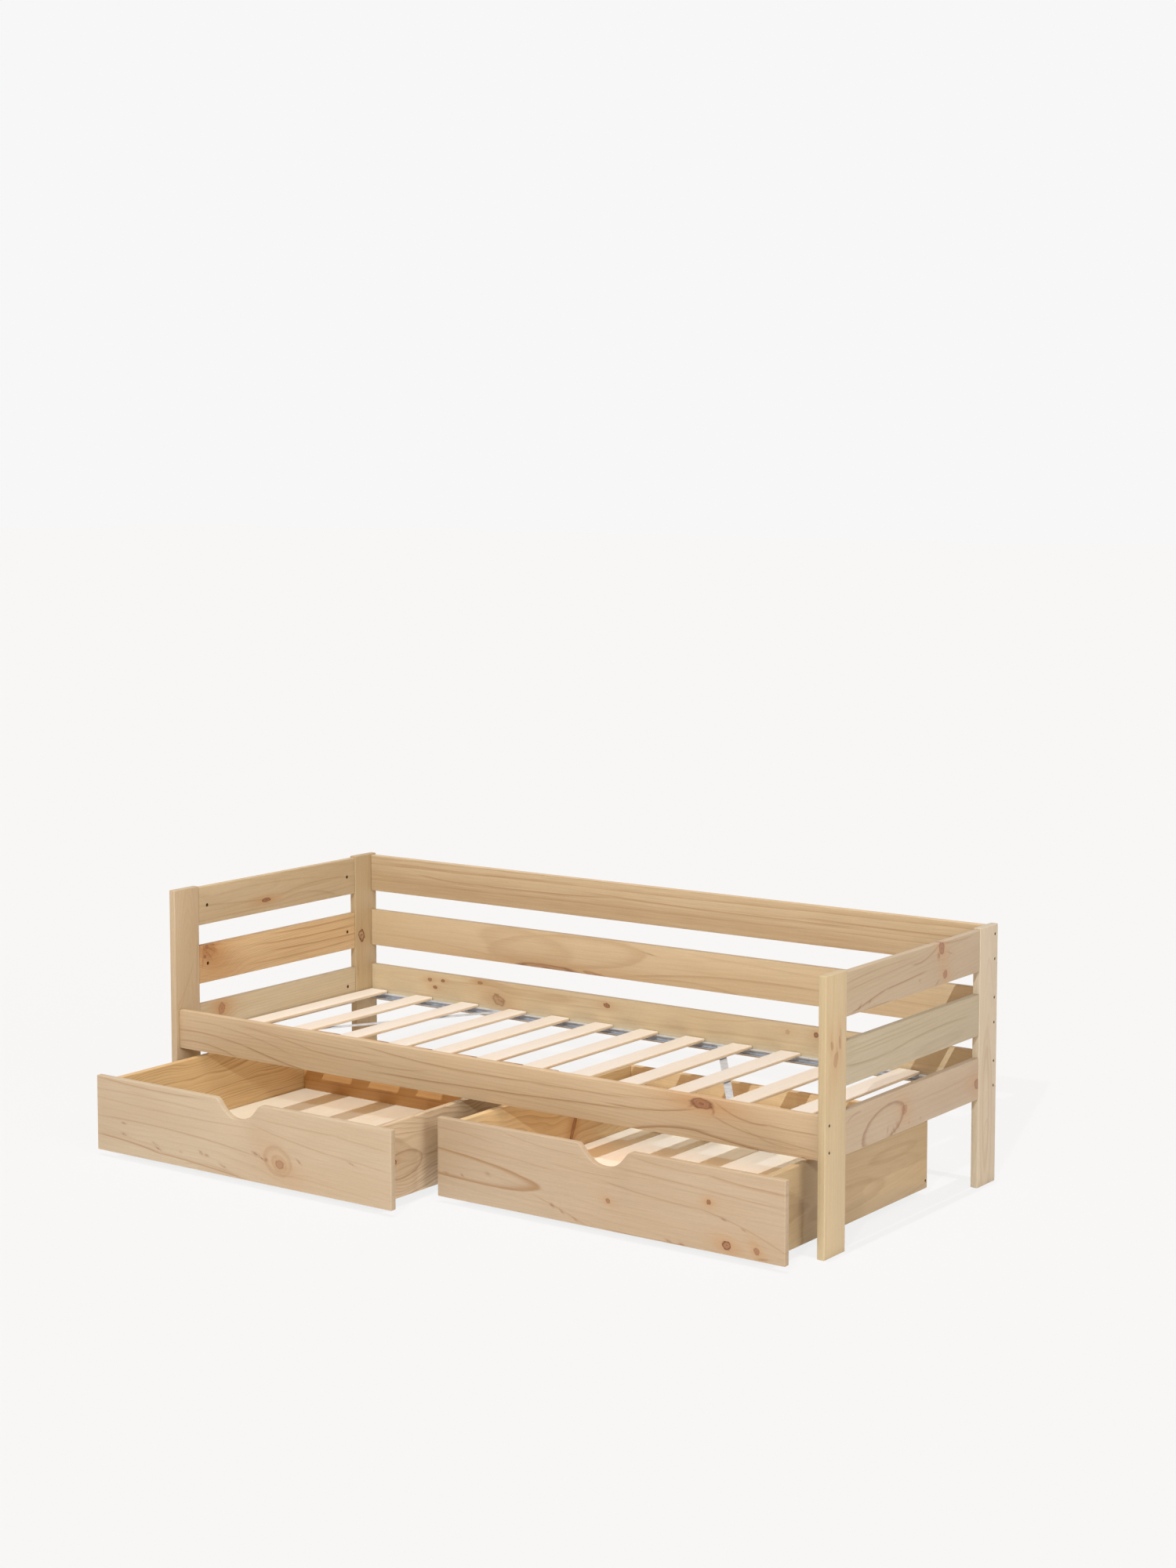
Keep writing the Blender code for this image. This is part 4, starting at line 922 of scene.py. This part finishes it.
def discard(*pieces):
    """Delete pieces."""
    for piece in pieces:
        bpy.data.objects.remove(piece, do_unlink=True)


def edit(piece, kind):
    """Open a piece in edit mode, to select vertices, edges or faces."""
    select_only(piece)
    bpy.ops.object.mode_set(mode="EDIT")
    bpy.ops.mesh.select_mode(type=kind)


def leave_edit():
    """Back to object mode."""
    bpy.ops.object.mode_set(mode="OBJECT")


def choose(piece, kind, wanted):
    """Select only the verts, edges or faces for which wanted is true."""
    bpy.ops.mesh.select_all(action="DESELECT")
    found = [item for item in getattr(bmesh.from_edit_mesh(piece.data), kind) if wanted(item)]
    if not found:
        raise RuntimeError(piece.name + ": nothing was found to select")
    for item in found:
        item.select_set(True)
    bmesh.update_edit_mesh(piece.data)


def every(wanted):
    """A test of whether all the corners of an edge pass a test of their place."""
    return lambda edge: all(wanted(corner.co) for corner in edge.verts)


def runs_across(edge, axis):
    """Whether an edge stays at one place along an axis, which is 0, 1 or 2."""
    return abs(edge.verts[0].co[axis] - edge.verts[1].co[axis]) < TOUCH / 10


def sharper_than(degrees):
    """A test of whether the faces on both sides of an edge meet at more than an angle."""
    return lambda edge: edge.calc_face_angle(0) > math.radians(degrees)


def round_edges(piece, radius, steps, wanted=sharper_than(40)):
    """Round edges of a piece, all of the sharp ones unless a test is given."""
    edit(piece, "EDGE")
    choose(piece, "edges", wanted)
    bpy.ops.mesh.bevel(offset=radius, offset_type="OFFSET", segments=steps, affect="EDGES",
                       clamp_overlap=True)
    leave_edit()


def join(pieces, name):
    """Join several meshes into one piece."""
    select_only(pieces[0])
    for piece in pieces:
        piece.select_set(True)
    if len(pieces) > 1:
        bpy.ops.object.join()
    pieces[0].name = pieces[0].data.name = name
    return pieces[0]


def apply_modifier(piece, kind, **settings):
    """Finish a piece with a modifier."""
    modifier = piece.modifiers.new(kind.lower(), kind)
    for name, value in settings.items():
        setattr(modifier, name, value)
    select_only(piece)
    bpy.ops.object.modifier_apply(modifier=modifier.name)


def combine(piece, other, operation="DIFFERENCE"):
    """Cut another shape out of a piece, or join it on, and delete the other shape."""
    apply_modifier(piece, "BOOLEAN", operation=operation, object=other, solver="EXACT")
    discard(other)


def spread(model, name, places):
    """Copy a small piece to many places, each a point and a turn about Z, as one piece."""
    copies = []
    for point, turn in places:
        select_only(model)
        bpy.ops.object.duplicate(linked=False)
        copy = bpy.context.object
        copy.matrix_world = Matrix.Translation(point) @ Matrix.Rotation(turn, 4, "Z")
        copies.append(apply_place(copy))
    return join(copies, name)


def finish(piece, material, body, replaced=(), angle=32):
    """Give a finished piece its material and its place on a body."""
    piece.data.materials.clear()
    piece.data.materials.append(material)
    select_only(piece)
    bpy.ops.object.shade_smooth_by_angle(angle=math.radians(angle))
    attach(piece, body)
    if replaced:
        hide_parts(*replaced)


# ---------------------------------------------------------------- boards


def holes_on(node, places, radius, depth):
    """The holes that fall on a board, of all the places where a kind of fastening goes."""
    low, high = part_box(node)
    return [(point, radius, depth) for point, _ in places
            if all(low[i] - TOUCH < point[i] < high[i] + TOUCH for i in range(3))]


def board(node, screws=(), nuts=()):
    """A planed board in a CAD node's place, with rounded edges and drilled holes."""
    sizes = bpy.context.scene.daybed_boards
    piece = add_block("planed_" + node, *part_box(node))
    round_edges(piece, sizes.rounding, sizes.steps)
    holes = holes_on(node, screws, *SCREW_HOLE) + holes_on(node, nuts, *NUT_HOLE)
    if holes:
        combine(piece, join([add_rod("drill", point, radius, 2 * depth, "x", 28)
                             for point, radius, depth in holes], "drills"))
    finish(piece, pine_material(node), BODIES[node], (node,))


def facing(hand):
    """The turn of a fastening that faces left or right."""
    return 0 if hand > 0 else math.pi


def screw_places():
    """Where the wood screws go in: outer faces of the posts, at the rail and back boards."""
    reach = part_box("post_front_right")[1].x
    rises = []
    for node in ["front_rail"] + ["back_board_" + row for row in ROWS]:
        low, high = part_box(node)
        middle = (low + high) / 2
        rises += [(middle.y, middle.z + share * (high.z - low.z)) for share in SCREW_SHARES]
    return [(Vector((hand * reach, y, z)), facing(hand))
            for hand in HANDS.values() for y, z in rises]


def nut_places():
    """Where the barrel nuts of the end boards show: the inner faces, near each end."""
    places = []
    for side, hand in HANDS.items():
        for row in ROWS:
            low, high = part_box("end_board_" + side + "_" + row)
            inner = low.x if hand > 0 else high.x
            places += [(Vector((inner, y, (low.z + high.z) / 2)), facing(-hand))
                       for y in (low.y + NUT_FROM_END, high.y - NUT_FROM_END)]
    return places


class DAYBED_OT_frame(bpy.types.Operator):
    """Posts, end boards, back boards and front rail, each with its own grain"""

    bl_idname = "daybed.frame_boards"
    bl_label = "Frame boards"

    def execute(self, context):
        screws, nuts = screw_places(), nut_places()
        for place in ("front", "rear"):
            for side in HANDS:
                board("post_" + place + "_" + side, screws=screws)
        for row in ROWS:
            for side in HANDS:
                board("end_board_" + side + "_" + row, nuts=nuts)
            board("back_board_" + row)
        board("front_rail")
        return {"FINISHED"}


class DAYBED_OT_slats(bpy.types.Operator):
    """Thirteen pale slats with well rounded edges, modelled once and copied"""

    bl_idname = "daybed.slats"
    bl_label = "Slats"

    def execute(self, context):
        sizes = context.scene.daybed_boards
        nodes = sorted(node for node in frame["nodes"] if node.startswith("slat_"))
        low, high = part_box(nodes[0])
        model = add_block("slat", low, high)
        round_edges(model, sizes.slat_rounding, sizes.steps + 1)
        material = pale_wood_material("pale_slats", context.scene.daybed_wood.slat, 0.35)
        for node in nodes:
            along = Vector((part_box(node)[0].x - low.x, 0, 0))
            finish(spread(model, "planed_" + node, [(along, 0)]), material,
                   BODIES[node], (node,), 40)
        discard(model)
        return {"FINISHED"}


# ---------------------------------------------------------------- steel base


def channel(node, material):
    """A folded channel: a web whose top and bottom edges are folded into flanges."""
    low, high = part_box(node)
    middle = (low + high) / 2
    rear = node.endswith("rear")
    web = (high.y - SHEET / 2) if rear else (low.y + SHEET / 2)
    flange = (low.y if rear else high.y) - web
    piece = add_named("folded_" + node, bpy.ops.mesh.primitive_plane_add, size=1,
                      location=(middle.x, web, middle.z), rotation=(math.pi / 2, 0, 0))
    piece.scale = (high.x - low.x, high.z - low.z - SHEET, 1)
    apply_place(piece)
    edit(piece, "EDGE")
    for above in (1, -1):
        choose(piece, "edges", every(lambda point: abs(point.y - web) < TOUCH
                                     and (point.z - middle.z) * above > 0))
        bpy.ops.mesh.extrude_edges_move(TRANSFORM_OT_translate={"value": (0, flange, 0)})
    choose(piece, "edges", lambda edge: len(edge.link_faces) == 2)
    bpy.ops.mesh.bevel(offset=FOLD, segments=4, affect="EDGES")
    for thickened in (False, True):
        if thickened:
            apply_modifier(piece, "SOLIDIFY", thickness=SHEET, offset=0)
            edit(piece, "EDGE")
        bpy.ops.mesh.select_all(action="SELECT")
        bpy.ops.mesh.normals_make_consistent(inside=False)
        leave_edit()
    finish(piece, material, BODIES[node], (node,), 25)


def strap(node, material):
    """A flat brace with rounded edges, shaped from a bar whose rear end is slid over.

    Returns the middles of its front and rear ends on its lower face.
    """
    low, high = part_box(node)
    points = [corner.co for corner in frame["nodes"][node].data.vertices]
    (left, right), (rear_left, rear_right) = (
        [side(point.x for point in points if abs(point.y - y) < 10 * TOUCH)
         for side in (min, max)] for y in (low.y, high.y))
    piece = add_block("flat_" + node, (left, low.y, low.z), (right, high.y, high.z))
    edit(piece, "VERT")
    choose(piece, "verts", lambda corner: corner.co.y > high.y - TOUCH)
    bpy.ops.transform.translate(value=(rear_left - left, 0, 0))
    leave_edit()
    round_edges(piece, 0.0005, 2)
    piece.visible_shadow = False  # no strap shadow lies on the drawer floors in the photo
    finish(piece, material, BODIES[node], (node,), 40)
    return (Vector(((left + right) / 2, low.y, low.z)),
            Vector(((rear_left + rear_right) / 2, high.y, low.z)))


class DAYBED_OT_steel(bpy.types.Operator):
    """Folded channels, flat braces and their rivets"""

    bl_idname = "daybed.steel_base"
    bl_label = "Steel base"

    def execute(self, context):
        sizes = context.scene.daybed_fastenings
        zinc = steel_material("zinc_plate", tuple(sizes.zinc), 0.42, 0.80, 0.45)
        for place in ("front", "rear"):
            channel("channel_" + place, zinc)
        heads = []
        for side in HANDS:
            front, rear = strap("brace_" + side, zinc)
            inwards = (rear - front).normalized() * RIVET_FROM_END
            heads += [(front + inwards, 0), (rear - inwards, 0)]
        # A low dome that hangs below its flat side
        tall = 0.0018
        rivet = add_rod("rivet", (0, 0, -tall / 2), sizes.rivet_radius, tall, "z")
        round_edges(rivet, tall * 0.8, 4, every(lambda point: point.z < -tall * 0.9))
        finish(spread(rivet, "brace_rivets", heads), zinc, "bed_frame", (), 40)
        discard(rivet)
        return {"FINISHED"}


# ---------------------------------------------------------------- fastenings


def sunk_head(name, radius, sink, thick):
    """A round head that faces along X and lies sunk below the wood."""
    head = add_rod(name, (-sink - thick / 2, 0, 0), radius, thick, "x", 28)
    round_edges(head, FINE_ROUNDING, 3, every(lambda point: point.x > -sink - TOUCH))
    return head


def screw_model(sizes):
    """A screw head with a hexagonal socket."""
    radius, sink, thick = sizes.screw_radius, sizes.screw_sink, 0.0020
    head = sunk_head("screw_head", radius, sink, thick)
    combine(head, add_rod("socket", (-sink, 0, 0), radius * 0.48, thick * 1.3, "x", 6))
    return head


def nut_model(sizes):
    """The end of a barrel nut with a screwdriver slot."""
    radius, sink, thick, slot_deep, half_slot = (sizes.nut_radius, sizes.nut_sink, 0.0080,
                                                 0.0014, 0.0007)
    nut = sunk_head("barrel_nut", radius, sink, thick)
    combine(nut, add_block("slot", (-sink - slot_deep, -radius * 1.2, -half_slot),
                           (sink + thick, radius * 1.2, half_slot)))
    return nut


class DAYBED_OT_fastenings(bpy.types.Operator):
    """Screws in the posts and drawer sides, and barrel nuts, modelled once and copied"""

    bl_idname = "daybed.fastenings"
    bl_label = "Fastenings"

    def execute(self, context):
        sizes = context.scene.daybed_fastenings
        bronze = steel_material("bronzed_steel", tuple(sizes.dark_steel), 0.45, 0.6)
        screw, nut = screw_model(sizes), nut_model(sizes)
        groups = [(screw, "post_screws", screw_places(), "bed_frame"),
                  (nut, "end_board_nuts", nut_places(), "bed_frame")]
        for drawer in DRAWERS:
            screws, nuts = drawer_places(drawer)
            body = BODIES[drawer + "_front"]
            groups += [(screw, drawer + "_screws", screws, body),
                       (nut, drawer + "_nuts", nuts, body)]
        for model, name, places, body in groups:
            finish(spread(model, name, places), bronze, body)
        discard(screw, nut)
        return {"FINISHED"}


# ---------------------------------------------------------------- drawers


def drawer_places(drawer):
    """Where a drawer's screws and barrel nuts show on its sides' outer faces."""
    screws, nuts = [], []
    back_low, back_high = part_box(drawer + "_back")
    for side, hand in HANDS.items():
        low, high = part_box(drawer + "_side_" + side)
        outer = high.x if hand > 0 else low.x
        screws += [(Vector((outer, (back_low.y + back_high.y) / 2, z)), facing(hand))
                   for z in (low.z + SCREW_FROM_EDGE, high.z - SCREW_FROM_EDGE)]
        nuts.append((Vector((outer, low.y + DRAWER_NUT_FROM_END, (low.z + high.z) / 2)),
                     facing(hand)))
    return screws, nuts


def scoop_drop(away, shoulder):
    """How far the top edge lies below the board's top, at a distance from the scoop's middle.

    Each shoulder rolls over smoothly into the straight top edge.
    """
    away = abs(away)
    inner = SCOOP_REACH - shoulder / 2
    drop = SCOOP_DEPTH * (1 - (min(away, inner) / SCOOP_REACH) ** SCOOP_POWER)
    past = min(max(away - inner, 0.0) / shoulder, 1.0)
    return drop * (1 - past) ** 2


def drawer_front(drawer):
    """A drawer front whose top edge dips in a hand scoop."""
    sizes = bpy.context.scene.daybed_boards
    node = drawer + "_front"
    low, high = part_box(node)
    middle = (low.x + high.x) / 2
    span = SCOOP_REACH + sizes.shoulder / 2
    piece = add_block("planed_" + node, low, high)
    edit(piece, "VERT")
    cuts = 44
    for step in range(cuts + 1):
        bpy.ops.mesh.select_all(action="SELECT")
        bpy.ops.mesh.bisect(plane_co=(middle + span * (2 * step / cuts - 1), 0, 0),
                            plane_no=(1, 0, 0))
    bpy.ops.mesh.select_all(action="DESELECT")
    for corner in bmesh.from_edit_mesh(piece.data).verts:
        if corner.co.z > high.z - TOUCH and abs(corner.co.x - middle) < span + TOUCH:
            corner.co.z -= scoop_drop(corner.co.x - middle, sizes.shoulder)
    bmesh.update_edit_mesh(piece.data)
    leave_edit()
    round_edges(piece, sizes.rounding, sizes.steps, sharper_than(60))
    finish(piece, pine_material(node), BODIES[node], (node,))


class DAYBED_OT_drawers(bpy.types.Operator):
    """Drawer fronts with hand scoops, sides, backs, floors and battens"""

    bl_idname = "daybed.drawers"
    bl_label = "Drawers"

    def execute(self, context):
        wood = context.scene.daybed_wood
        # The right drawer's floor takes a lighter colour than the left's: painted light
        for drawer, pale in zip(DRAWERS, (wood.panel, wood.panel_right_painted_light)):
            drawer_front(drawer)
            screws, nuts = drawer_places(drawer)
            for part in ("_side_left", "_side_right", "_back", "_batten"):
                board(drawer + part, screws, nuts)
            node = drawer + "_floor"
            panel = add_block("planed_" + node, *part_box(node))
            round_edges(panel, FINE_ROUNDING, 2)
            finish(panel, pale_wood_material("pale_" + node, pale, 0.30),
                   BODIES[node], (node,))
        return {"FINISHED"}


# ---------------------------------------------------------------- castors


def wheel_model(sizes):
    """A moulded wheel on the X axis, with a rounded tread, a sunk web and a hub."""
    rim, sunk, step, bore_radius = 0.0042, 0.0022, 0.0006, 0.0021
    wheel = add_rod("wheel", (0, 0, 0), WHEEL_RADIUS, WHEEL_WIDTH, "x", 48)
    edit(wheel, "FACE")
    for side in (1, -1):
        choose(wheel, "faces", lambda face: len(face.verts) > 8
               and face.calc_center_median().x * side > WHEEL_WIDTH * 0.45)
        bpy.ops.mesh.inset(thickness=rim)
        bpy.ops.transform.translate(value=(-side * sunk, 0, 0))
        bpy.ops.mesh.inset(thickness=WHEEL_RADIUS - rim - sizes.hub_radius)
        bpy.ops.mesh.inset(thickness=step)
        bpy.ops.transform.translate(value=(side * sunk, 0, 0))
    leave_edit()
    on_tread = every(lambda point: math.hypot(point.y, point.z) > WHEEL_RADIUS - TOUCH)
    round_edges(wheel, sizes.tread_rounding, 4,
                lambda edge: on_tread(edge) and runs_across(edge, 0))
    combine(wheel, add_rod("bore", (0, 0, 0), bore_radius, WHEEL_WIDTH * 1.4, "x"))
    return wheel


def bracket_model(low, high):
    """A castor bracket round an axle at the origin: plate, cheeks with rounded feet, axle."""
    plate, into_plate = 0.0017, 0.0009  # the plate's thickness, and where the cheeks end in it
    inner, outer = 0.0072, 0.0088  # a cheek's two faces, from the middle of the axle
    corner_radius, foot_radius = 0.0040, 0.0058
    axle_radius, head_radius, head_tall = 0.0020, 0.0030, 0.0010
    bracket = add_block("plate", (low.x, low.y, high.z - plate), high)
    round_edges(bracket, corner_radius, 4, lambda edge: not runs_across(edge, 2))
    for hand in HANDS.values():
        near, far = sorted((hand * inner, hand * outer))
        cheek = add_block("cheek", (near, low.y, low.z), (far, high.y, high.z - into_plate))
        at_foot = every(lambda point: point.z < low.z + TOUCH)
        round_edges(cheek, foot_radius, 6, lambda edge: at_foot(edge) and runs_across(edge, 1))
        combine(bracket, cheek, "UNION")
        head = add_rod("axle_head", (hand * (outer + head_tall / 2), 0, 0), head_radius,
                       head_tall, "x")
        round_edges(head, head_tall / 2, 3,
                    every(lambda point: point.x * hand > outer + head_tall * 0.9))
        combine(bracket, head, "UNION")
    combine(bracket, add_rod("axle", (0, 0, 0), axle_radius, 2 * outer, "x"), "UNION")
    return bracket


class DAYBED_OT_castors(bpy.types.Operator):
    """Eight castors: a folded bracket and a moulded wheel, modelled once and copied"""

    bl_idname = "daybed.castors"
    bl_label = "Castors"

    def execute(self, context):
        sizes = context.scene.daybed_castors
        zinc = steel_material("zinc_bracket", tuple(context.scene.daybed_fastenings.zinc),
                              0.38, 0.85)
        plastic = plastic_material("wheel_plastic", tuple(sizes.plastic))
        castors = sorted(node[:-len("wheel")] for node in frame["nodes"]
                         if node.endswith("_wheel"))
        middles = {castor: sum(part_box(castor + "wheel"), Vector()) / 2 for castor in castors}
        wheel = wheel_model(sizes)
        bracket = bracket_model(*(corner - middles[castors[0]]
                                  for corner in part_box(castors[0] + "bracket")))
        for castor in castors:
            for model, made, kind, material, slot in (
                    (wheel, "moulded_", "wheel", plastic, "wheel_plastic"),
                    (bracket, "folded_", "bracket", zinc, "zinc_steel")):
                node = castor + kind
                finish(spread(model, made + node, [(middles[castor], 0)]), material,
                       BODIES[node], (node,), 30)
        discard(wheel, bracket)
        return {"FINISHED"}


# ---------------------------------------------------------------- studio


def seen_directly(n):
    """1 for rays that show the background: from the camera, a gloss or a clear body."""
    path = n.put("LightPath")
    return n.most(n.most(path["Is Camera Ray"], path["Is Glossy Ray"]),
                  path["Is Transmission Ray"])


def lamp(name, towards, strength, degrees, colour=(1, 1, 1)):
    """A distant lamp that shines from a direction, and is so many degrees wide."""
    towards = Vector(towards)
    made = add_named(name, bpy.ops.object.light_add, type="SUN",
                     location=towards.normalized() * 6)
    made.rotation_euler = towards.to_track_quat("Z", "Y").to_euler()
    made.data.energy = strength
    made.data.angle = math.radians(degrees)
    made.data.color = colour


def bounce_lamp(drawer, watts, colour):
    """A warm lamp under the slats, for the light that the pine throws back into a drawer."""
    left, right = (corner.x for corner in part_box(drawer + "_floor"))
    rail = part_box("front_rail")[0]
    front, rear = rail.y - 0.05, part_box("drawer_left_back")[0].y
    made = add_named("bounce_lamp_" + drawer, bpy.ops.object.light_add, type="AREA",
                     location=((left + right) / 2, (front + rear) / 2, rail.z + 0.01))
    made.data.shape = "RECTANGLE"
    made.data.size, made.data.size_y = right - left, rear - front
    made.data.spread = math.radians(80)
    made.data.energy = watts
    made.data.color = colour
    made.visible_camera = False


def floor_material(brightness):
    """The pale floor: mostly plain background where it is seen, matt where light falls."""
    material = bpy.data.materials.new("pale_studio_floor")
    material.use_nodes = True
    tree = material.node_tree
    tree.nodes.remove(tree.nodes["Principled BSDF"])
    n = Nodes(tree)
    matt = n.put("BsdfDiffuse", {"Color": (0.90, 0.90, 0.90, 1)})[0]
    glow = n.put("Emission", {"Color": (brightness, brightness, brightness, 1)})[0]
    share = n.times(seen_directly(n), BACKGROUND_SHARE)
    mixed = n.put("MixShader", {0: share, 1: matt, 2: glow})[0]
    n.feed(tree.nodes["Material Output"], {"Surface": mixed})
    return material


def light_world(scene, studio):
    """The even light from all round, and the plain background behind the floor."""
    scene.world = scene.world or bpy.data.worlds.new("studio")
    scene.world.use_nodes = True
    n = Nodes(scene.world.node_tree)
    seen = seen_directly(n)
    n.feed(n.tree.nodes["Background"], {
        "Color": n.mix(seen, (*studio.fill_colour, 1), (1, 1, 1, 1)),
        "Strength": n.ramp(seen, 0.0, 1.0, studio.fill, studio.backdrop)})


def place_camera(scene, studio):
    """The camera that the photograph was matched with."""
    camera = add_named("photo_camera", bpy.ops.object.camera_add,
                       location=studio.camera_place)
    left, dip, roll = studio.camera_turn
    camera.matrix_world = (Matrix.Translation(studio.camera_place)
                           @ Matrix.Rotation(left, 4, "Z")
                           @ Matrix.Rotation(math.pi / 2 - dip, 4, "X")
                           @ Matrix.Rotation(roll, 4, "Z"))
    camera.data.sensor_width = 36
    camera.data.lens = studio.camera_lens
    camera.data.shift_x, camera.data.shift_y = studio.camera_shift
    camera.data.clip_end = 200
    scene.camera = camera


class DAYBED_OT_studio(bpy.types.Operator):
    """Pale floor, soft lamps, even background and the camera"""

    bl_idname = "daybed.studio"
    bl_label = "Studio"

    def execute(self, context):
        studio = context.scene.daybed_studio
        floor = add_named("studio_floor", bpy.ops.mesh.primitive_plane_add, size=80,
                          location=(0, 0, 0))
        floor.data.materials.append(floor_material(studio.backdrop))
        light_world(context.scene, studio)
        lamp("front_lamp", (0.275, -0.813, 0.507), studio.front_key, 0.2, studio.front_colour)
        lamp("overhead_lamp", (-0.02, 0.0, 1.0), studio.overhead, 0.2)
        lamp("side_lamp", (0.90, -0.25, 0.35), studio.side_fill, 24)
        for drawer, watts in zip(DRAWERS, studio.bounce):
            bounce_lamp(drawer, watts, studio.bounce_colour)
        place_camera(context.scene, studio)
        context.scene.view_settings.view_transform = "Standard"
        return {"FINISHED"}


# ---------------------------------------------------------------- panel and registration


class DAYBED_PT_looks(bpy.types.Panel):
    """Lists the steps that dress the daybed, with their sizes and colours"""

    bl_idname = "DAYBED_PT_looks"
    bl_label = "Daybed"
    bl_space_type = "VIEW_3D"
    bl_region_type = "UI"
    bl_category = "Daybed"

    def draw(self, context):
        for label, values, kind, steps in SECTIONS:
            box = self.layout.box()
            box.label(text=label)
            for name in kind.__annotations__:
                box.prop(getattr(context.scene, values), name)
            for step in steps:
                box.operator(step.bl_idname)


# Each section: its label, the scene's values, their class and the steps that use them
SECTIONS = (
    ("Boards", "daybed_boards", BoardSizes,
     (DAYBED_OT_frame, DAYBED_OT_slats, DAYBED_OT_drawers)),
    ("Wood colours", "daybed_wood", WoodColours, ()),
    ("Steel and fastenings", "daybed_fastenings", FasteningSizes,
     (DAYBED_OT_steel, DAYBED_OT_fastenings)),
    ("Castors", "daybed_castors", CastorSizes, (DAYBED_OT_castors,)),
    ("Studio", "daybed_studio", StudioLight, (DAYBED_OT_studio,)),
)


def register():
    """Register the values, the operators and the panel."""
    for _, values, kind, steps in SECTIONS:
        for item in (kind, *steps):
            bpy.utils.register_class(item)
        setattr(bpy.types.Scene, values, bpy.props.PointerProperty(type=kind))
    bpy.utils.register_class(DAYBED_PT_looks)


def unregister():
    """Undo register."""
    bpy.utils.unregister_class(DAYBED_PT_looks)
    for _, values, kind, steps in reversed(SECTIONS):
        delattr(bpy.types.Scene, values)
        for item in reversed((kind, *steps)):
            bpy.utils.unregister_class(item)


def main():
    register()
    bpy.ops.daybed.frame_boards()
    bpy.ops.daybed.slats()
    bpy.ops.daybed.steel_base()
    bpy.ops.daybed.fastenings()
    bpy.ops.daybed.drawers()
    bpy.ops.daybed.castors()
    bpy.ops.daybed.studio()


if __name__ == "__main__":
    main()
